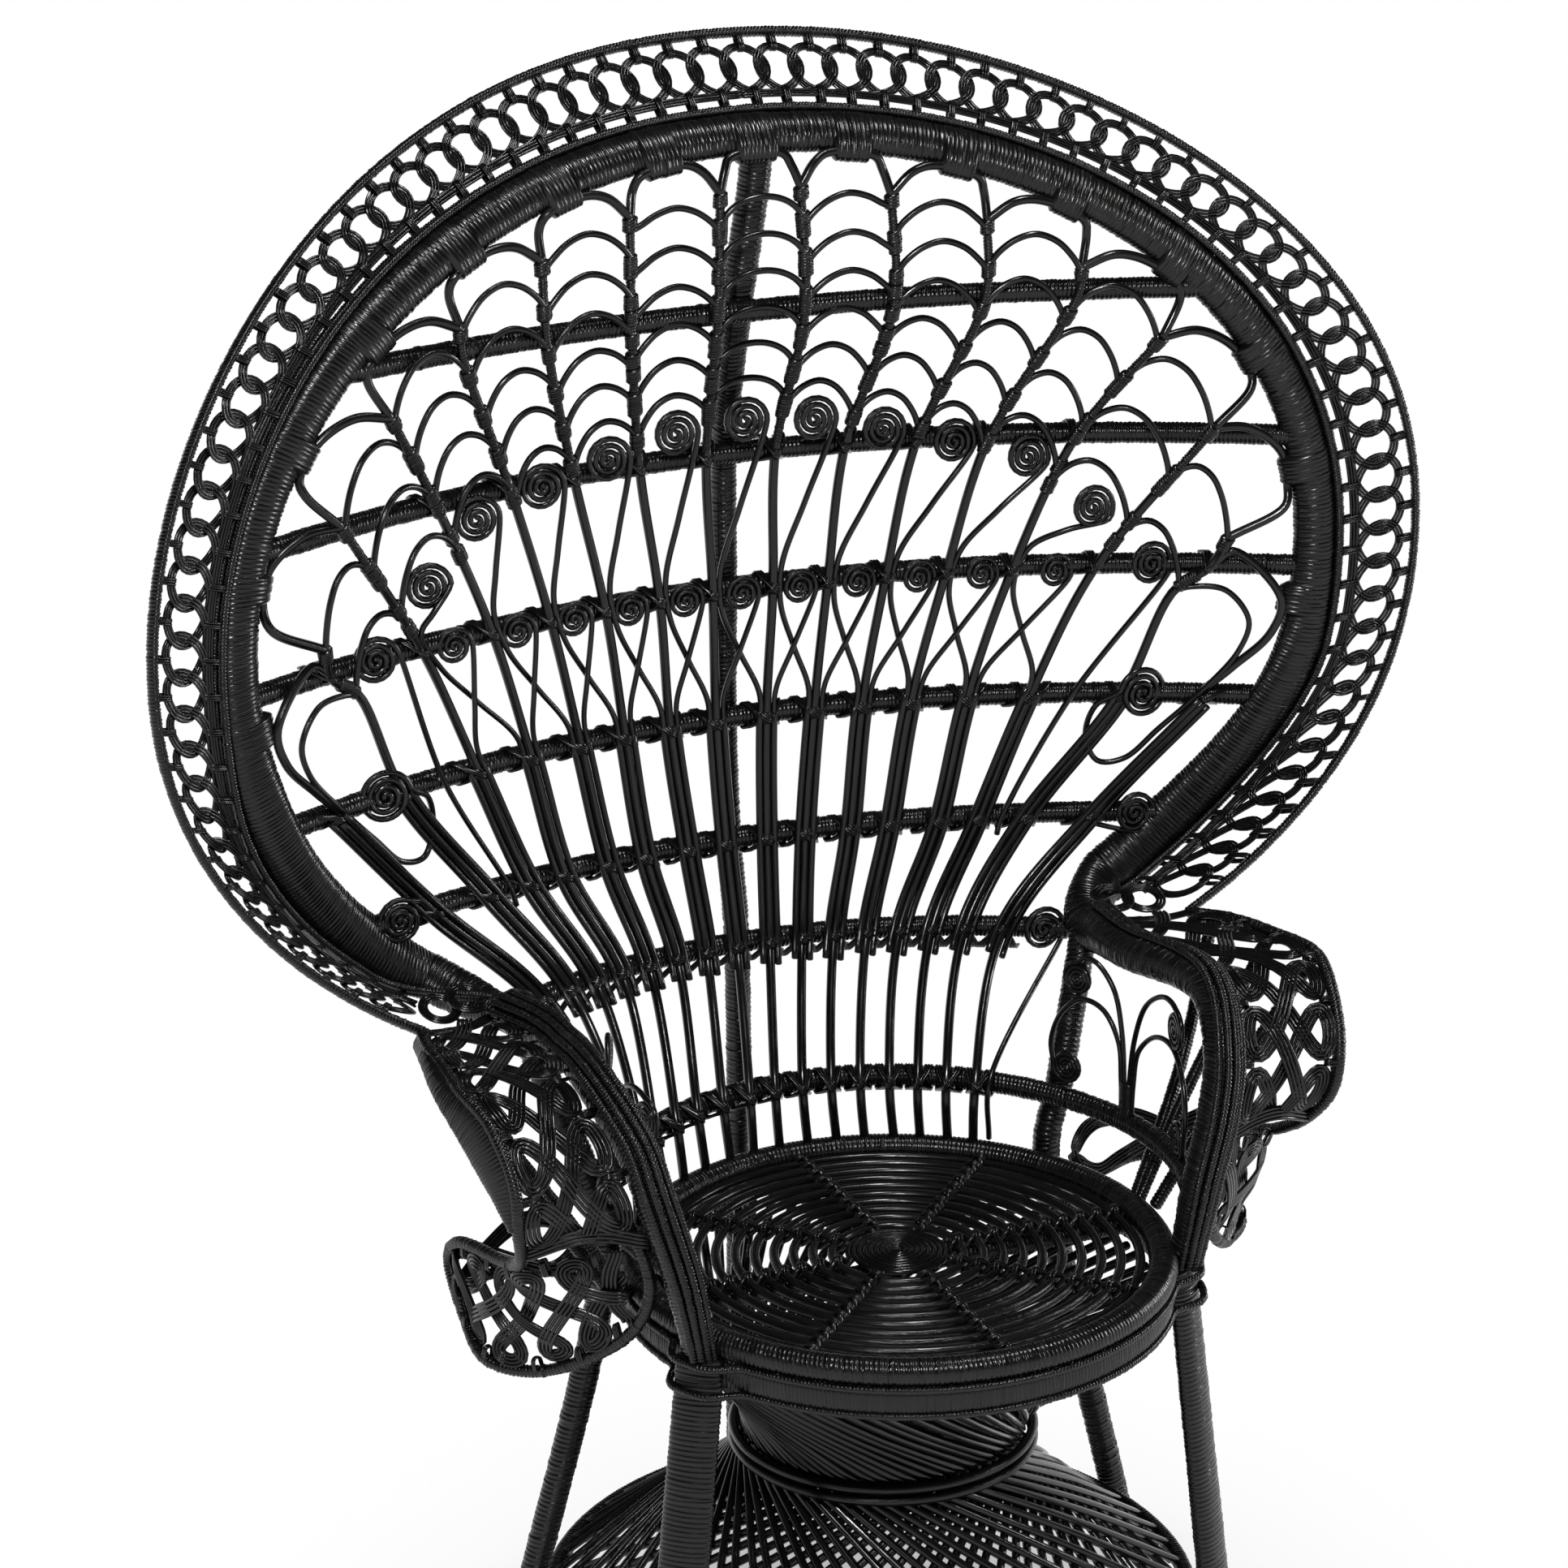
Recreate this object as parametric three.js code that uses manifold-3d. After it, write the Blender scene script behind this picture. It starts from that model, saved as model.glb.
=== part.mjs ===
// Peacock chair: a woven, black-lacquered rattan armchair with a fan back.
// Millimetres, +Z up, the sitter faces -Y. All places are taken from the seat's axis at floor level,
// and the finished group is then moved so that its origin is the middle of its footprint.
import * as THREE from 'three';
import { mergeVertices } from 'three/addons/utils/BufferGeometryUtils.js';
import Module from 'manifold-3d';

// Clearance between pieces that touch, and the sides of every round ring
const GAP = 0.3;
const ROUND_STEPS = 28;

// Seat
const SEAT_HEIGHT = 443;
const SEAT_RADIUS = 228;
const SEAT_ROLL = 13;
const SEAT_RING_DEPTH = 50;
const MAT_RINGS = 4;
const MAT_CANE = 9;
const MAT_DIVIDERS = 8;
const MAT_DIVIDER_WIDTH = 12;
const MAT_CENTRE_RADIUS = 46;
const MAT_DROP = 8;
const SEAT_BAR_RADIUS = 8;

// Back hoop: a rounded oval that leans back towards its top and tucks back above the waist
const HOOP_HALF_WIDTH = 506;
const HOOP_HALF_HEIGHT = 391;
const HOOP_CENTRE_Z = 955;
const HOOP_BACK = 209;
const HOOP_LEAN = 116;
const HOOP_LEAN_START = 900;
const HOOP_TUCK = 52;
const HOOP_TUCK_START = 800;
const HOOP_TUCK_LENGTH = 150;
const HOOP_FACE = 22;
const HOOP_THICK = 14;
const HOOP_END_ANGLE = 52;

// Outer rim of the chain border, which keeps the border's width all round the hoop
const BORDER_SIDE_REACH = 82;
const BORDER_TOP_REACH = 62;
const BORDER_LOW_REACH = 29;
const RIM_HALF_WIDTH = HOOP_HALF_WIDTH + BORDER_SIDE_REACH;
const RIM_HALF_HEIGHT = HOOP_HALF_HEIGHT + BORDER_TOP_REACH;
const RIM_LOW_HEIGHT = HOOP_HALF_HEIGHT + BORDER_LOW_REACH;
const RIM_CENTRE_Z = 968;
const RIM_BACK = 172;
const RIM_LEAN = 223;
const RIM_LEAN_START = 950;
const RIM_RADIUS = 6;
const RIM_END_ANGLE = 50;
const OVAL_POWER = 2.1;

// Chain border
const BORDER_PIECES = 6;
const LINKS_PER_PIECE = 12;
const BORDER_THICK = 8;
const LINK_EYE = 0.62;

// Rails of the back, top to bottom: height, depth at the middle, bow, spacing and flare of the ribs
const RAIL_RADIUS = 9;
const RAILS = [
  { name: 'rail_1', z: 1194, back: 312, bow: 0.00047, pitch: 82, flare: 0 },
  { name: 'rail_2', z: 1055, back: 360, bow: 0.00062, pitch: 65, flare: 0.02 },
  { name: 'rail_3', z: 932, back: 356, bow: 0.00057, pitch: 54.5, flare: 0.09 },
  { name: 'rail_4', z: 809, back: 361, bow: 0.00062, pitch: 47.5, flare: 0.07 },
  { name: 'rail_5', z: 696, back: 350, bow: 0.0006, pitch: 39, flare: 0.04 },
  { name: 'rail_6', z: 601, back: 334, bow: 0.0011, pitch: 30, flare: 0 },
];
const ARM_RAIL_Z = 492;
const ARM_RAIL_RADIUS = 250;
const ARM_RAIL_PITCH = 25.5;

// Ribs, scallops and scrolls of the back
const RIBS_PER_SIDE = 8;
const FORKED_RIBS = 7;
const RIB_RADIUS = 4.5;
const RIB_SEAT_PITCH = 25.5;
const RIB_LEAN_ROOM = 3.5;
const FLANK_RADIUS = 3.2;
const BUNDLE_DROP = 28;
const FORK_SHARE = 0.865;
const FORK_FORWARD = 26;
const FORK_SINK = 7;
const FORK_STEP_ANGLE = 13.3;
const FORK_FIRST_ANGLE = 4.7;
const ARCH_RADIUS = 3;
const ARCHES_PER_BAY = [6, 6, 6, 5, 4, 3, 2];
const SCROLL_ARC_RADIUS = 517;
const SCROLL_ARC_Z = 573;
const SCROLL_STEP_ANGLE = 7.6;
const SCROLL_RADIUS = 20;
const SCROLL_THICK = 6;

// Posts and legs
const POST_RADIUS = 11;
const BACK_LEG_RADIUS = 12.5;
const FRONT_LEG_WIDE = 20;
const FRONT_LEG_NARROW = 13;
const LEG_JOINT_Z = 418;
const FRONT_LEG_ANGLE = -25;
const FRONT_LEG_SPLAY = 52;
const BACK_LEG_ANGLE = 35;
const BACK_LEG_SPLAY_X = 112;

// Arms
const ARM_RADIUS = 19;
const ARM_TOP_Z = 627;
const ARM_WAIST_Y = 214;
const ARM_FRONT_Y = -62;
const ARM_HALF_WIDTH = 272;
const PANEL_REACH = 118;
const PANEL_RIM_RADIUS = 7;
const PANEL_THICK = 8;
const PANEL_CELLS = 8;
const LOBE_REACH = 96;
const LOBE_CELLS = 4;
const MOTIF_RADIUS = 3.2;

// Hourglass base
const WAIST_Z = 252;
const WAIST_RADIUS = 127;
const WAIST_BACK = 30;
const WAIST_BAND = 12;
const BASE_RING_Z = 78;
const BASE_RING_RADIUS = 286;
const BASE_RING_TUBE = 8;
const BASE_BACK = 55;
const TWIST_CANES = 18;
const TWIST_CANE_RADIUS = 5;
const TWIST_ANGLE = 62;

const wasm = await Module();
wasm.setup();

const lacquer = { color: 0x15161a, roughness: 0.38, metalness: 0 };
const chair = new THREE.Group();

// Makes a closed solid from a three.js geometry, with its faces pointing out
function solidOf(geometry) {
  const bare = geometry.clone();
  bare.deleteAttribute('normal');
  bare.deleteAttribute('uv');
  const merged = mergeVertices(bare, 1e-4);
  const triVerts = new Uint32Array(merged.index.array);
  if (signedVolume(merged) < 0) {
    for (let i = 0; i < triVerts.length; i += 3) {
      [triVerts[i + 1], triVerts[i + 2]] = [triVerts[i + 2], triVerts[i + 1]];
    }
  }
  const vertProperties = new Float32Array(merged.attributes.position.array);
  return new wasm.Manifold(new wasm.Mesh({ numProp: 3, vertProperties, triVerts }));
}

function signedVolume(geometry) {
  const corner = [new THREE.Vector3(), new THREE.Vector3(), new THREE.Vector3()];
  const place = geometry.attributes.position;
  let total = 0;
  for (let i = 0; i < geometry.index.count; i += 3) {
    corner.forEach((point, k) => point.fromBufferAttribute(place, geometry.index.getX(i + k)));
    total += corner[0].dot(corner[1].clone().cross(corner[2])) / 6;
  }
  return total;
}

// Adds a solid to the chair as a named piece
function addPiece(name, solid) {
  const mesh = solid.getMesh();
  const geometry = new THREE.BufferGeometry();
  geometry.setAttribute('position', new THREE.BufferAttribute(mesh.vertProperties, 3));
  geometry.setIndex(new THREE.BufferAttribute(mesh.triVerts, 1));
  geometry.computeVertexNormals();
  const piece = new THREE.Mesh(geometry, new THREE.MeshStandardMaterial(lacquer));
  piece.name = name;
  chair.add(piece);
  return solid;
}

function joinAll(solids) {
  return solids.reduce((whole, next) => whole.add(next));
}

function at(x, y, z) {
  return new THREE.Vector3(x, y, z);
}

function radians(degrees) {
  return (degrees * Math.PI) / 180;
}

// A curve whose sections keep facing a chosen way
class GuidedCurve extends THREE.CatmullRomCurve3 {
  constructor(points, guide) {
    super(points, false, 'centripetal');
    this.guide = guide;
  }

  computeFrenetFrames(segments) {
    const frames = { tangents: [], normals: [], binormals: [] };
    for (let i = 0; i <= segments; i += 1) {
      const tangent = this.getTangentAt(i / segments);
      const normal = this.guide(this.getPointAt(i / segments)).projectOnPlane(tangent).normalize();
      frames.tangents.push(tangent);
      frames.normals.push(normal);
      frames.binormals.push(tangent.clone().cross(normal));
    }
    return frames;
  }
}

// A curve that is sampled evenly between its points, so that a tube passes through each of them
class KnotCurve extends THREE.CatmullRomCurve3 {
  constructor(points) {
    super(points, false, 'centripetal');
  }

  getUtoTmapping(share) {
    return share;
  }
}

function ovalShape(sides, halfWidth, halfDepth) {
  const points = [];
  for (let i = 0; i < sides; i += 1) {
    const turn = (2 * Math.PI * i) / sides;
    points.push(new THREE.Vector2(halfWidth * Math.cos(turn), halfDepth * Math.sin(turn)));
  }
  return new THREE.Shape(points);
}

function sweep(shape, extrudePath, steps) {
  return solidOf(new THREE.ExtrudeGeometry(shape, { steps, extrudePath, curveSegments: 1 }));
}

function tube(points, radius, sides, steps) {
  const path = new THREE.CatmullRomCurve3(points, false, 'centripetal');
  return sweep(ovalShape(sides, radius, radius), path, steps);
}

// A tube with the same number of steps between each pair of its points
function knotTube(points, radius, sides, stepsEach) {
  const steps = stepsEach * (points.length - 1);
  return sweep(ovalShape(sides, radius, radius), new KnotCurve(points), steps);
}

// A ring about an upright axis from a closed outline of [radius, height] points
function turned(outline, steps, back = 0) {
  const points = outline.map(([r, z]) => new THREE.Vector2(r, z));
  points.push(points[0].clone());
  const geometry = new THREE.LatheGeometry(points, steps);
  geometry.rotateX(Math.PI / 2);
  geometry.translate(0, back, 0);
  return solidOf(geometry);
}

function roundOutline(radius, height, tubeRadius, sides) {
  const outline = [];
  for (let i = 0; i < sides; i += 1) {
    const turn = (2 * Math.PI * (i + 0.5)) / sides;
    outline.push([radius + tubeRadius * Math.cos(turn), height + tubeRadius * Math.sin(turn)]);
  }
  return outline;
}

// A band between two edge curves with one eye through it in each cell
const EYE_SIDES = 6;
function eyeletBand(inner, outer, from, to, cells, thick, eye) {
  const places = [];
  const index = [];
  const face = (u, v, side) => {
    const low = inner(u);
    const high = outer(u);
    const step = (to - from) / 200;
    const along = inner(u + step).add(outer(u + step)).sub(inner(u - step)).sub(outer(u - step));
    const normal = along.cross(high.clone().sub(low)).normalize();
    return low.lerp(high, v).addScaledVector(normal, (side * thick) / 2);
  };
  const put = (u, v) => {
    places.push(face(u, v, 1), face(u, v, -1));
    return places.length - 2;
  };
  const twoFaces = (a, b, c) => index.push(a, b, c, a + 1, c + 1, b + 1);
  const wall = (a, b) => index.push(a, a + 1, b, b, a + 1, b + 1);
  const size = (to - from) / cells;
  let left = [put(from, 0), put(from, 1)];
  wall(left[1], left[0]);
  for (let cell = 0; cell < cells; cell += 1) {
    const middle = from + (cell + 0.5) * size;
    const right = [put(middle + size / 2, 0), put(middle + size / 2, 1)];
    const hole = [];
    for (let i = 0; i < EYE_SIDES; i += 1) {
      const turn = (2 * Math.PI * i) / EYE_SIDES;
      hole.push(put(middle + (Math.cos(turn) * size * eye) / 2, 0.5 + (Math.sin(turn) * eye) / 2));
    }
    twoFaces(right[0], right[1], hole[0]);
    twoFaces(right[1], hole[1], hole[0]);
    twoFaces(right[1], left[1], hole[2]);
    twoFaces(right[1], hole[2], hole[1]);
    twoFaces(left[1], hole[3], hole[2]);
    twoFaces(left[1], left[0], hole[3]);
    twoFaces(left[0], hole[4], hole[3]);
    twoFaces(left[0], right[0], hole[5]);
    twoFaces(left[0], hole[5], hole[4]);
    twoFaces(right[0], hole[0], hole[5]);
    hole.forEach((point, i) => wall(hole[(i + 1) % EYE_SIDES], point));
    wall(left[0], right[0]);
    wall(right[1], left[1]);
    left = right;
  }
  wall(left[0], left[1]);
  const geometry = new THREE.BufferGeometry().setFromPoints(places);
  geometry.setIndex(index);
  return solidOf(geometry);
}

// A point of a rounded oval that leans back, by its angle from the right-hand side
function ovalPoint(angle, oval) {
  const power = 2 / OVAL_POWER;
  const across = Math.cos(radians(angle));
  const upward = Math.sin(radians(angle));
  const x = oval.halfWidth * Math.sign(across) * Math.abs(across) ** power;
  const height = upward < 0 ? oval.lowHeight : oval.halfHeight;
  const z = oval.centreZ + height * Math.sign(upward) * Math.abs(upward) ** power;
  const top = oval.centreZ + oval.halfHeight;
  const rise = Math.max(0, (z - oval.leanStart) / (top - oval.leanStart));
  const tuck = oval.tuck * THREE.MathUtils.smoothstep(oval.tuckStart - z, 0, HOOP_TUCK_LENGTH);
  return at(x, oval.back + oval.lean * rise ** oval.leanPower + tuck, z);
}

const HOOP = {
  halfWidth: HOOP_HALF_WIDTH,
  halfHeight: HOOP_HALF_HEIGHT,
  lowHeight: HOOP_HALF_HEIGHT,
  centreZ: HOOP_CENTRE_Z,
  back: HOOP_BACK,
  lean: HOOP_LEAN,
  leanStart: HOOP_LEAN_START,
  leanPower: 3.5,
  tuck: HOOP_TUCK,
  tuckStart: HOOP_TUCK_START,
};
const RIM = {
  halfWidth: RIM_HALF_WIDTH,
  halfHeight: RIM_HALF_HEIGHT,
  lowHeight: RIM_LOW_HEIGHT,
  centreZ: RIM_CENTRE_Z,
  back: RIM_BACK,
  lean: RIM_LEAN,
  leanStart: RIM_LEAN_START,
  leanPower: 2.8,
  tuck: 0,
  tuckStart: RIM_CENTRE_Z,
};

const hoopAt = (angle) => ovalPoint(angle, HOOP);
const rimAt = (angle) => ovalPoint(angle, RIM);

// The way across the border at an angle, square to the hoop or to the rim
function acrossAt(pointAt, angle) {
  const along = pointAt(angle + 0.5).sub(pointAt(angle - 0.5)).normalize();
  return rimAt(angle).sub(hoopAt(angle)).projectOnPlane(along).normalize();
}
const outwardAt = (angle) => acrossAt(hoopAt, angle);

function ovalRun(pointAt, endAngle, count) {
  const points = [];
  for (let i = 0; i <= count; i += 1) {
    points.push(pointAt(-endAngle + ((180 + 2 * endAngle) * i) / count));
  }
  return points;
}

// The angle at which a point lies on an oval
function ovalAngle(point, oval) {
  const across = (Math.abs(point.x) / oval.halfWidth) ** (OVAL_POWER / 2);
  const height = point.z < oval.centreZ ? oval.lowHeight : oval.halfHeight;
  const upward = (Math.abs(point.z - oval.centreZ) / height) ** (OVAL_POWER / 2);
  const turn = Math.atan2(upward * Math.sign(point.z - oval.centreZ), across * Math.sign(point.x));
  const angle = (turn * 180) / Math.PI;
  return angle < -90 ? angle + 360 : angle;
}

function hoopSolid(grow) {
  const guide = (point) => outwardAt(ovalAngle(point, HOOP));
  const path = new GuidedCurve(ovalRun(hoopAt, HOOP_END_ANGLE, 36), guide);
  return sweep(ovalShape(8, HOOP_FACE + grow, HOOP_THICK + grow), path, 40);
}

// Depth of a rail, and of the ribs in front of it
const railDepth = (place, x) => place.back - place.bow * x * x;
const ribOffset = RIB_RADIUS + RAIL_RADIUS + GAP;
const ribDepth = (place, x) => railDepth(place, x) - ribOffset * Math.hypot(1, 2 * place.bow * x);

// How far from the middle a rib crosses a rail
function ribAcross(place, rib) {
  return place.pitch * (rib + 0.5) * (1 + place.flare * Math.max(0, rib - 4) * 0.9);
}

const forkAngle = (rib) => 90 - FORK_FIRST_ANGLE - FORK_STEP_ANGLE * rib;

// Where a rib ends at its fork, inside the hoop: before it at the top and sunk behind it at the sides
function forkPoint(rib) {
  const onHoop = hoopAt(forkAngle(rib));
  const x = onHoop.x * FORK_SHARE;
  const z = HOOP_CENTRE_Z + (onHoop.z - HOOP_CENTRE_Z) * FORK_SHARE;
  return at(x, onHoop.y - FORK_FORWARD + FORK_SINK * rib, z);
}

function ribPath(rib) {
  const seatX = RIB_SEAT_PITCH * (rib + 0.5) * (rib > 6 ? 0.95 : 1);
  const points = [at(seatX, Math.sqrt(SEAT_RADIUS ** 2 - seatX ** 2), SEAT_HEIGHT - SEAT_ROLL)];
  const armRailX = Math.min(ARM_RAIL_PITCH * (rib + 0.5), 0.72 * ARM_RAIL_RADIUS);
  const inside = ARM_RAIL_RADIUS - ribOffset - RIB_LEAN_ROOM;
  points.push(at(armRailX, Math.sqrt(inside ** 2 - armRailX ** 2), ARM_RAIL_Z));
  const fork = rib < FORKED_RIBS ? forkPoint(rib) : lastRibTop();
  [...RAILS].reverse().forEach((place) => {
    if (place.z < fork.z - 20) {
      const x = ribAcross(place, rib);
      points.push(at(x, ribDepth(place, x), place.z));
    }
  });
  points.push(fork);
  return points;
}

// The outermost rib leans out and ends at the hoop's inner side
function lastRibTop() {
  const angle = -15;
  return hoopAt(angle).addScaledVector(outwardAt(angle), -(HOOP_FACE + RIB_RADIUS + 2 * GAP));
}

// A point of a rib at a height
function ribAt(path, z) {
  const curve = new KnotCurve(path);
  let low = 0;
  let high = 1;
  for (let i = 0; i < 24; i += 1) {
    const middle = (low + high) / 2;
    if (curve.getPoint(middle).z < z) low = middle;
    else high = middle;
  }
  return curve.getPoint(high);
}

function arch(start, end, rise, steps) {
  const middle = start.clone().lerp(end, 0.5);
  const points = [];
  for (let i = 0; i <= 6; i += 1) {
    const turn = (Math.PI * i) / 6;
    const point = middle.clone().addScaledVector(end.clone().sub(start), -Math.cos(turn) / 2);
    points.push(point.addScaledVector(rise, Math.sin(turn)));
  }
  return tube(points, ARCH_RADIUS, 3, steps);
}

const scrollPoint = (bay) => {
  const turn = radians(SCROLL_STEP_ANGLE * bay);
  const x = SCROLL_ARC_RADIUS * Math.sin(turn);
  const z = SCROLL_ARC_Z + SCROLL_ARC_RADIUS * Math.cos(turn);
  return { x, z };
};

function scrollDisc(centre) {
  const disc = new THREE.CylinderGeometry(SCROLL_RADIUS, SCROLL_RADIUS, SCROLL_THICK, 8);
  disc.translate(centre.x, centre.y, centre.z);
  return solidOf(disc);
}

// The three canes side by side that stiffen a rib between the lower rails
function bundle(path) {
  const run = [ribAt(path, path[2].z - BUNDLE_DROP), path[3], path[4]];
  const half = RIB_RADIUS + 2 * FLANK_RADIUS;
  const curve = new GuidedCurve(run, () => at(1, 0, 0));
  return sweep(ovalShape(6, half, RIB_RADIUS * 1.2), curve, 2);
}

// One stave of the back: a rib, its flanking canes, and the scallops and scroll of the bay inside it
function stave(rib, side) {
  const mirror = (point) => at(point.x * side, point.y, point.z);
  const path = ribPath(rib);
  const bits = [knotTube(path.map(mirror), RIB_RADIUS, 4, 2), bundle(path.map(mirror))];
  if (rib < FORKED_RIBS && (rib > 0 || side > 0)) {
    const neighbour = rib > 0 ? ribPath(rib - 1) : path.map((point) => at(-point.x, point.y, point.z));
    bayPieces(rib, path, neighbour).forEach((points) => bits.push(points(mirror)));
  }
  if (rib === FORKED_RIBS - 1) bits.push(outerLoop(path, mirror));
  return joinAll(bits);
}

// The scallops between a rib and its inner neighbour, and the scroll below them
function bayPieces(bay, path, neighbour) {
  const fork = path[path.length - 1];
  const otherFork = neighbour[neighbour.length - 1];
  const scroll = scrollPoint(bay);
  const low = scroll.z - SCROLL_RADIUS * 0.4;
  const count = ARCHES_PER_BAY[bay];
  const pieces = [];
  const keepOff = RIB_RADIUS + 2 * ARCH_RADIUS;
  for (let i = 0; i <= count; i += 1) {
    const share = (i + 0.35) / (count + 0.6);
    const start = ribAt(path, low + (fork.z - low) * share);
    const end = ribAt(neighbour, low + (otherFork.z - low) * share);
    end.addScaledVector(start.clone().sub(end).normalize(), keepOff);
    start.y -= ARCH_RADIUS;
    end.y -= ARCH_RADIUS;
    const width = start.distanceTo(end);
    const over = Math.min(1, share + (width * 0.48) / (fork.z - low));
    const above = ribAt(path, low + (fork.z - low) * over);
    above.add(ribAt(neighbour, low + (otherFork.z - low) * over)).multiplyScalar(0.5);
    above.y -= ARCH_RADIUS;
    let rise = above.sub(start.clone().lerp(end, 0.5));
    if (i === count) {
      const angle = bay > 0 ? (forkAngle(bay) + forkAngle(bay - 1)) / 2 : 90;
      const reach = HOOP_FACE + ARCH_RADIUS + 2 * GAP;
      const peak = hoopAt(angle).addScaledVector(outwardAt(angle), -reach);
      peak.y = Math.min(start.y, end.y);
      rise = peak.sub(start.clone().lerp(end, 0.5));
    } else {
      rise.setLength(width * 0.48);
    }
    pieces.push((mirror) => arch(mirror(start), mirror(end), mirror(rise), 4));
  }
  const seat = ribAt(path, low);
  const depth = seat.y;
  const centre = at(Math.min(scroll.x, seat.x - SCROLL_RADIUS), depth, scroll.z);
  pieces.push((mirror) => scrollDisc(mirror(centre)));
  const foot = ribAt(path, low - 120);
  const side = at(centre.x + SCROLL_RADIUS * 0.7, depth, centre.z);
  const bend = side.clone().lerp(foot, 0.4).add(at(4, 0, 0));
  pieces.push((mirror) => tube([foot, bend, side].map(mirror), ARCH_RADIUS, 3, 3));
  return pieces;
}

// The loop that carries the last forked rib out to the hoop
function outerLoop(path, mirror) {
  const start = path[path.length - 1];
  const angle = -3;
  const reach = HOOP_FACE + ARCH_RADIUS + 2 * GAP;
  const end = hoopAt(angle).addScaledVector(outwardAt(angle), -reach);
  const peak = start.clone().lerp(end, 0.5).add(at(0, 0, 26));
  return tube([start, peak, end].map(mirror), ARCH_RADIUS, 3, 4);
}

// Seat ring: a wrapped roll, a flat band and a lower rod in one turned section
function seatRingOutline(grow) {
  const top = SEAT_HEIGHT + grow;
  const low = SEAT_HEIGHT - SEAT_RING_DEPTH - grow;
  const outer = SEAT_RADIUS + SEAT_ROLL + grow;
  const inner = SEAT_RADIUS - SEAT_ROLL - grow;
  const band = outer - 4;
  return [
    [inner, low + 4], [inner + 6, low], [outer - 3, low], [outer, low + 5],
    [band, low + 11], [band, top - 26], [outer, top - 18], [outer, top - 8],
    [outer - 7, top], [inner + 7, top], [inner, top - 8],
  ];
}
const seatRingSolid = (grow) => turned(seatRingOutline(grow), ROUND_STEPS);

// Mat of the seat: rings of cane on eight dividers, about a wound centre
const matTop = SEAT_HEIGHT - MAT_DROP;
const matBottom = matTop - MAT_CANE;
function seatMat() {
  const outerRadius = SEAT_RADIUS - SEAT_ROLL - GAP;
  const innerRadius = MAT_CENTRE_RADIUS + GAP;
  const bits = [];
  for (let i = 0; i < MAT_RINGS; i += 1) {
    const outer = outerRadius - ((outerRadius - innerRadius - MAT_CANE) * i) / (MAT_RINGS - 1);
    const inner = outer - MAT_CANE;
    const outline = [[inner, matBottom], [outer, matBottom], [outer, matTop], [inner, matTop]];
    bits.push(turned(outline, ROUND_STEPS));
  }
  const length = outerRadius - innerRadius - MAT_CANE;
  for (let i = 0; i < MAT_DIVIDERS; i += 1) {
    const bar = new THREE.BoxGeometry(length, MAT_DIVIDER_WIDTH, MAT_CANE * 0.8);
    bar.translate(innerRadius + MAT_CANE / 2 + length / 2, 0, matTop - MAT_CANE / 2);
    bar.rotateZ((2 * Math.PI * i) / MAT_DIVIDERS);
    bits.push(solidOf(bar));
  }
  return joinAll(bits);
}

function seatCentre() {
  const half = MAT_CENTRE_RADIUS;
  const outline = [
    new THREE.Vector2(0, matBottom), new THREE.Vector2(half, matBottom), new THREE.Vector2(half, matTop),
    new THREE.Vector2(half * 0.5, matTop + 1), new THREE.Vector2(0, matTop),
  ];
  const geometry = new THREE.LatheGeometry(outline, ROUND_STEPS);
  geometry.rotateX(Math.PI / 2);
  return solidOf(geometry);
}

// A bar under the mat, from one side of the ring to the other
function seatBar(angle, drop) {
  const z = matBottom - GAP - SEAT_BAR_RADIUS - drop;
  const reach = SEAT_RADIUS;
  const across = at(Math.cos(radians(angle)), Math.sin(radians(angle)), 0).multiplyScalar(reach);
  const ends = [at(-across.x, -across.y, z), at(across.x, across.y, z)];
  return tube(ends, SEAT_BAR_RADIUS, 8, 1).subtract(seatRingSolid(GAP));
}

// Legs stand just outside the seat ring and splay to the floor
const legCircle = SEAT_RADIUS + SEAT_ROLL + GAP;
function polar(radius, angle, z) {
  return at(radius * Math.cos(radians(angle)), radius * Math.sin(radians(angle)), z);
}
const frontLegTop = polar(legCircle + FRONT_LEG_WIDE * 0.82, FRONT_LEG_ANGLE, LEG_JOINT_Z);
const frontLegFoot = polar(legCircle + FRONT_LEG_WIDE * 0.82 + FRONT_LEG_SPLAY, FRONT_LEG_ANGLE, 0);
const backLegTop = polar(legCircle + BACK_LEG_RADIUS + GAP, BACK_LEG_ANGLE, SEAT_HEIGHT - SEAT_ROLL);
const backLegFoot = at(backLegTop.x + BACK_LEG_SPLAY_X, backLegTop.y + 8, 0);

// Cuts a foot flat at the floor
function flatFoot(solid) {
  const size = 2000;
  const floor = new THREE.BoxGeometry(size, size, size);
  floor.translate(0, 0, -size / 2);
  return solid.subtract(solidOf(floor));
}

const mirrored = (points, side) => points.map((point) => at(point.x * side, point.y, point.z));
const footDrop = (top, foot) => foot.clone().addScaledVector(foot.clone().sub(top).normalize(), 12);

function frontLeg(side, grow) {
  const top = frontLegTop.clone().addScaledVector(frontLegTop.clone().sub(frontLegFoot).normalize(), grow);
  const points = mirrored([top, footDrop(frontLegTop, frontLegFoot)], side);
  const path = new GuidedCurve(points, () => at(side * -0.919, 0.394, 0));
  return flatFoot(sweep(ovalShape(10, FRONT_LEG_WIDE + grow, FRONT_LEG_NARROW + grow), path, 2));
}

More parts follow.
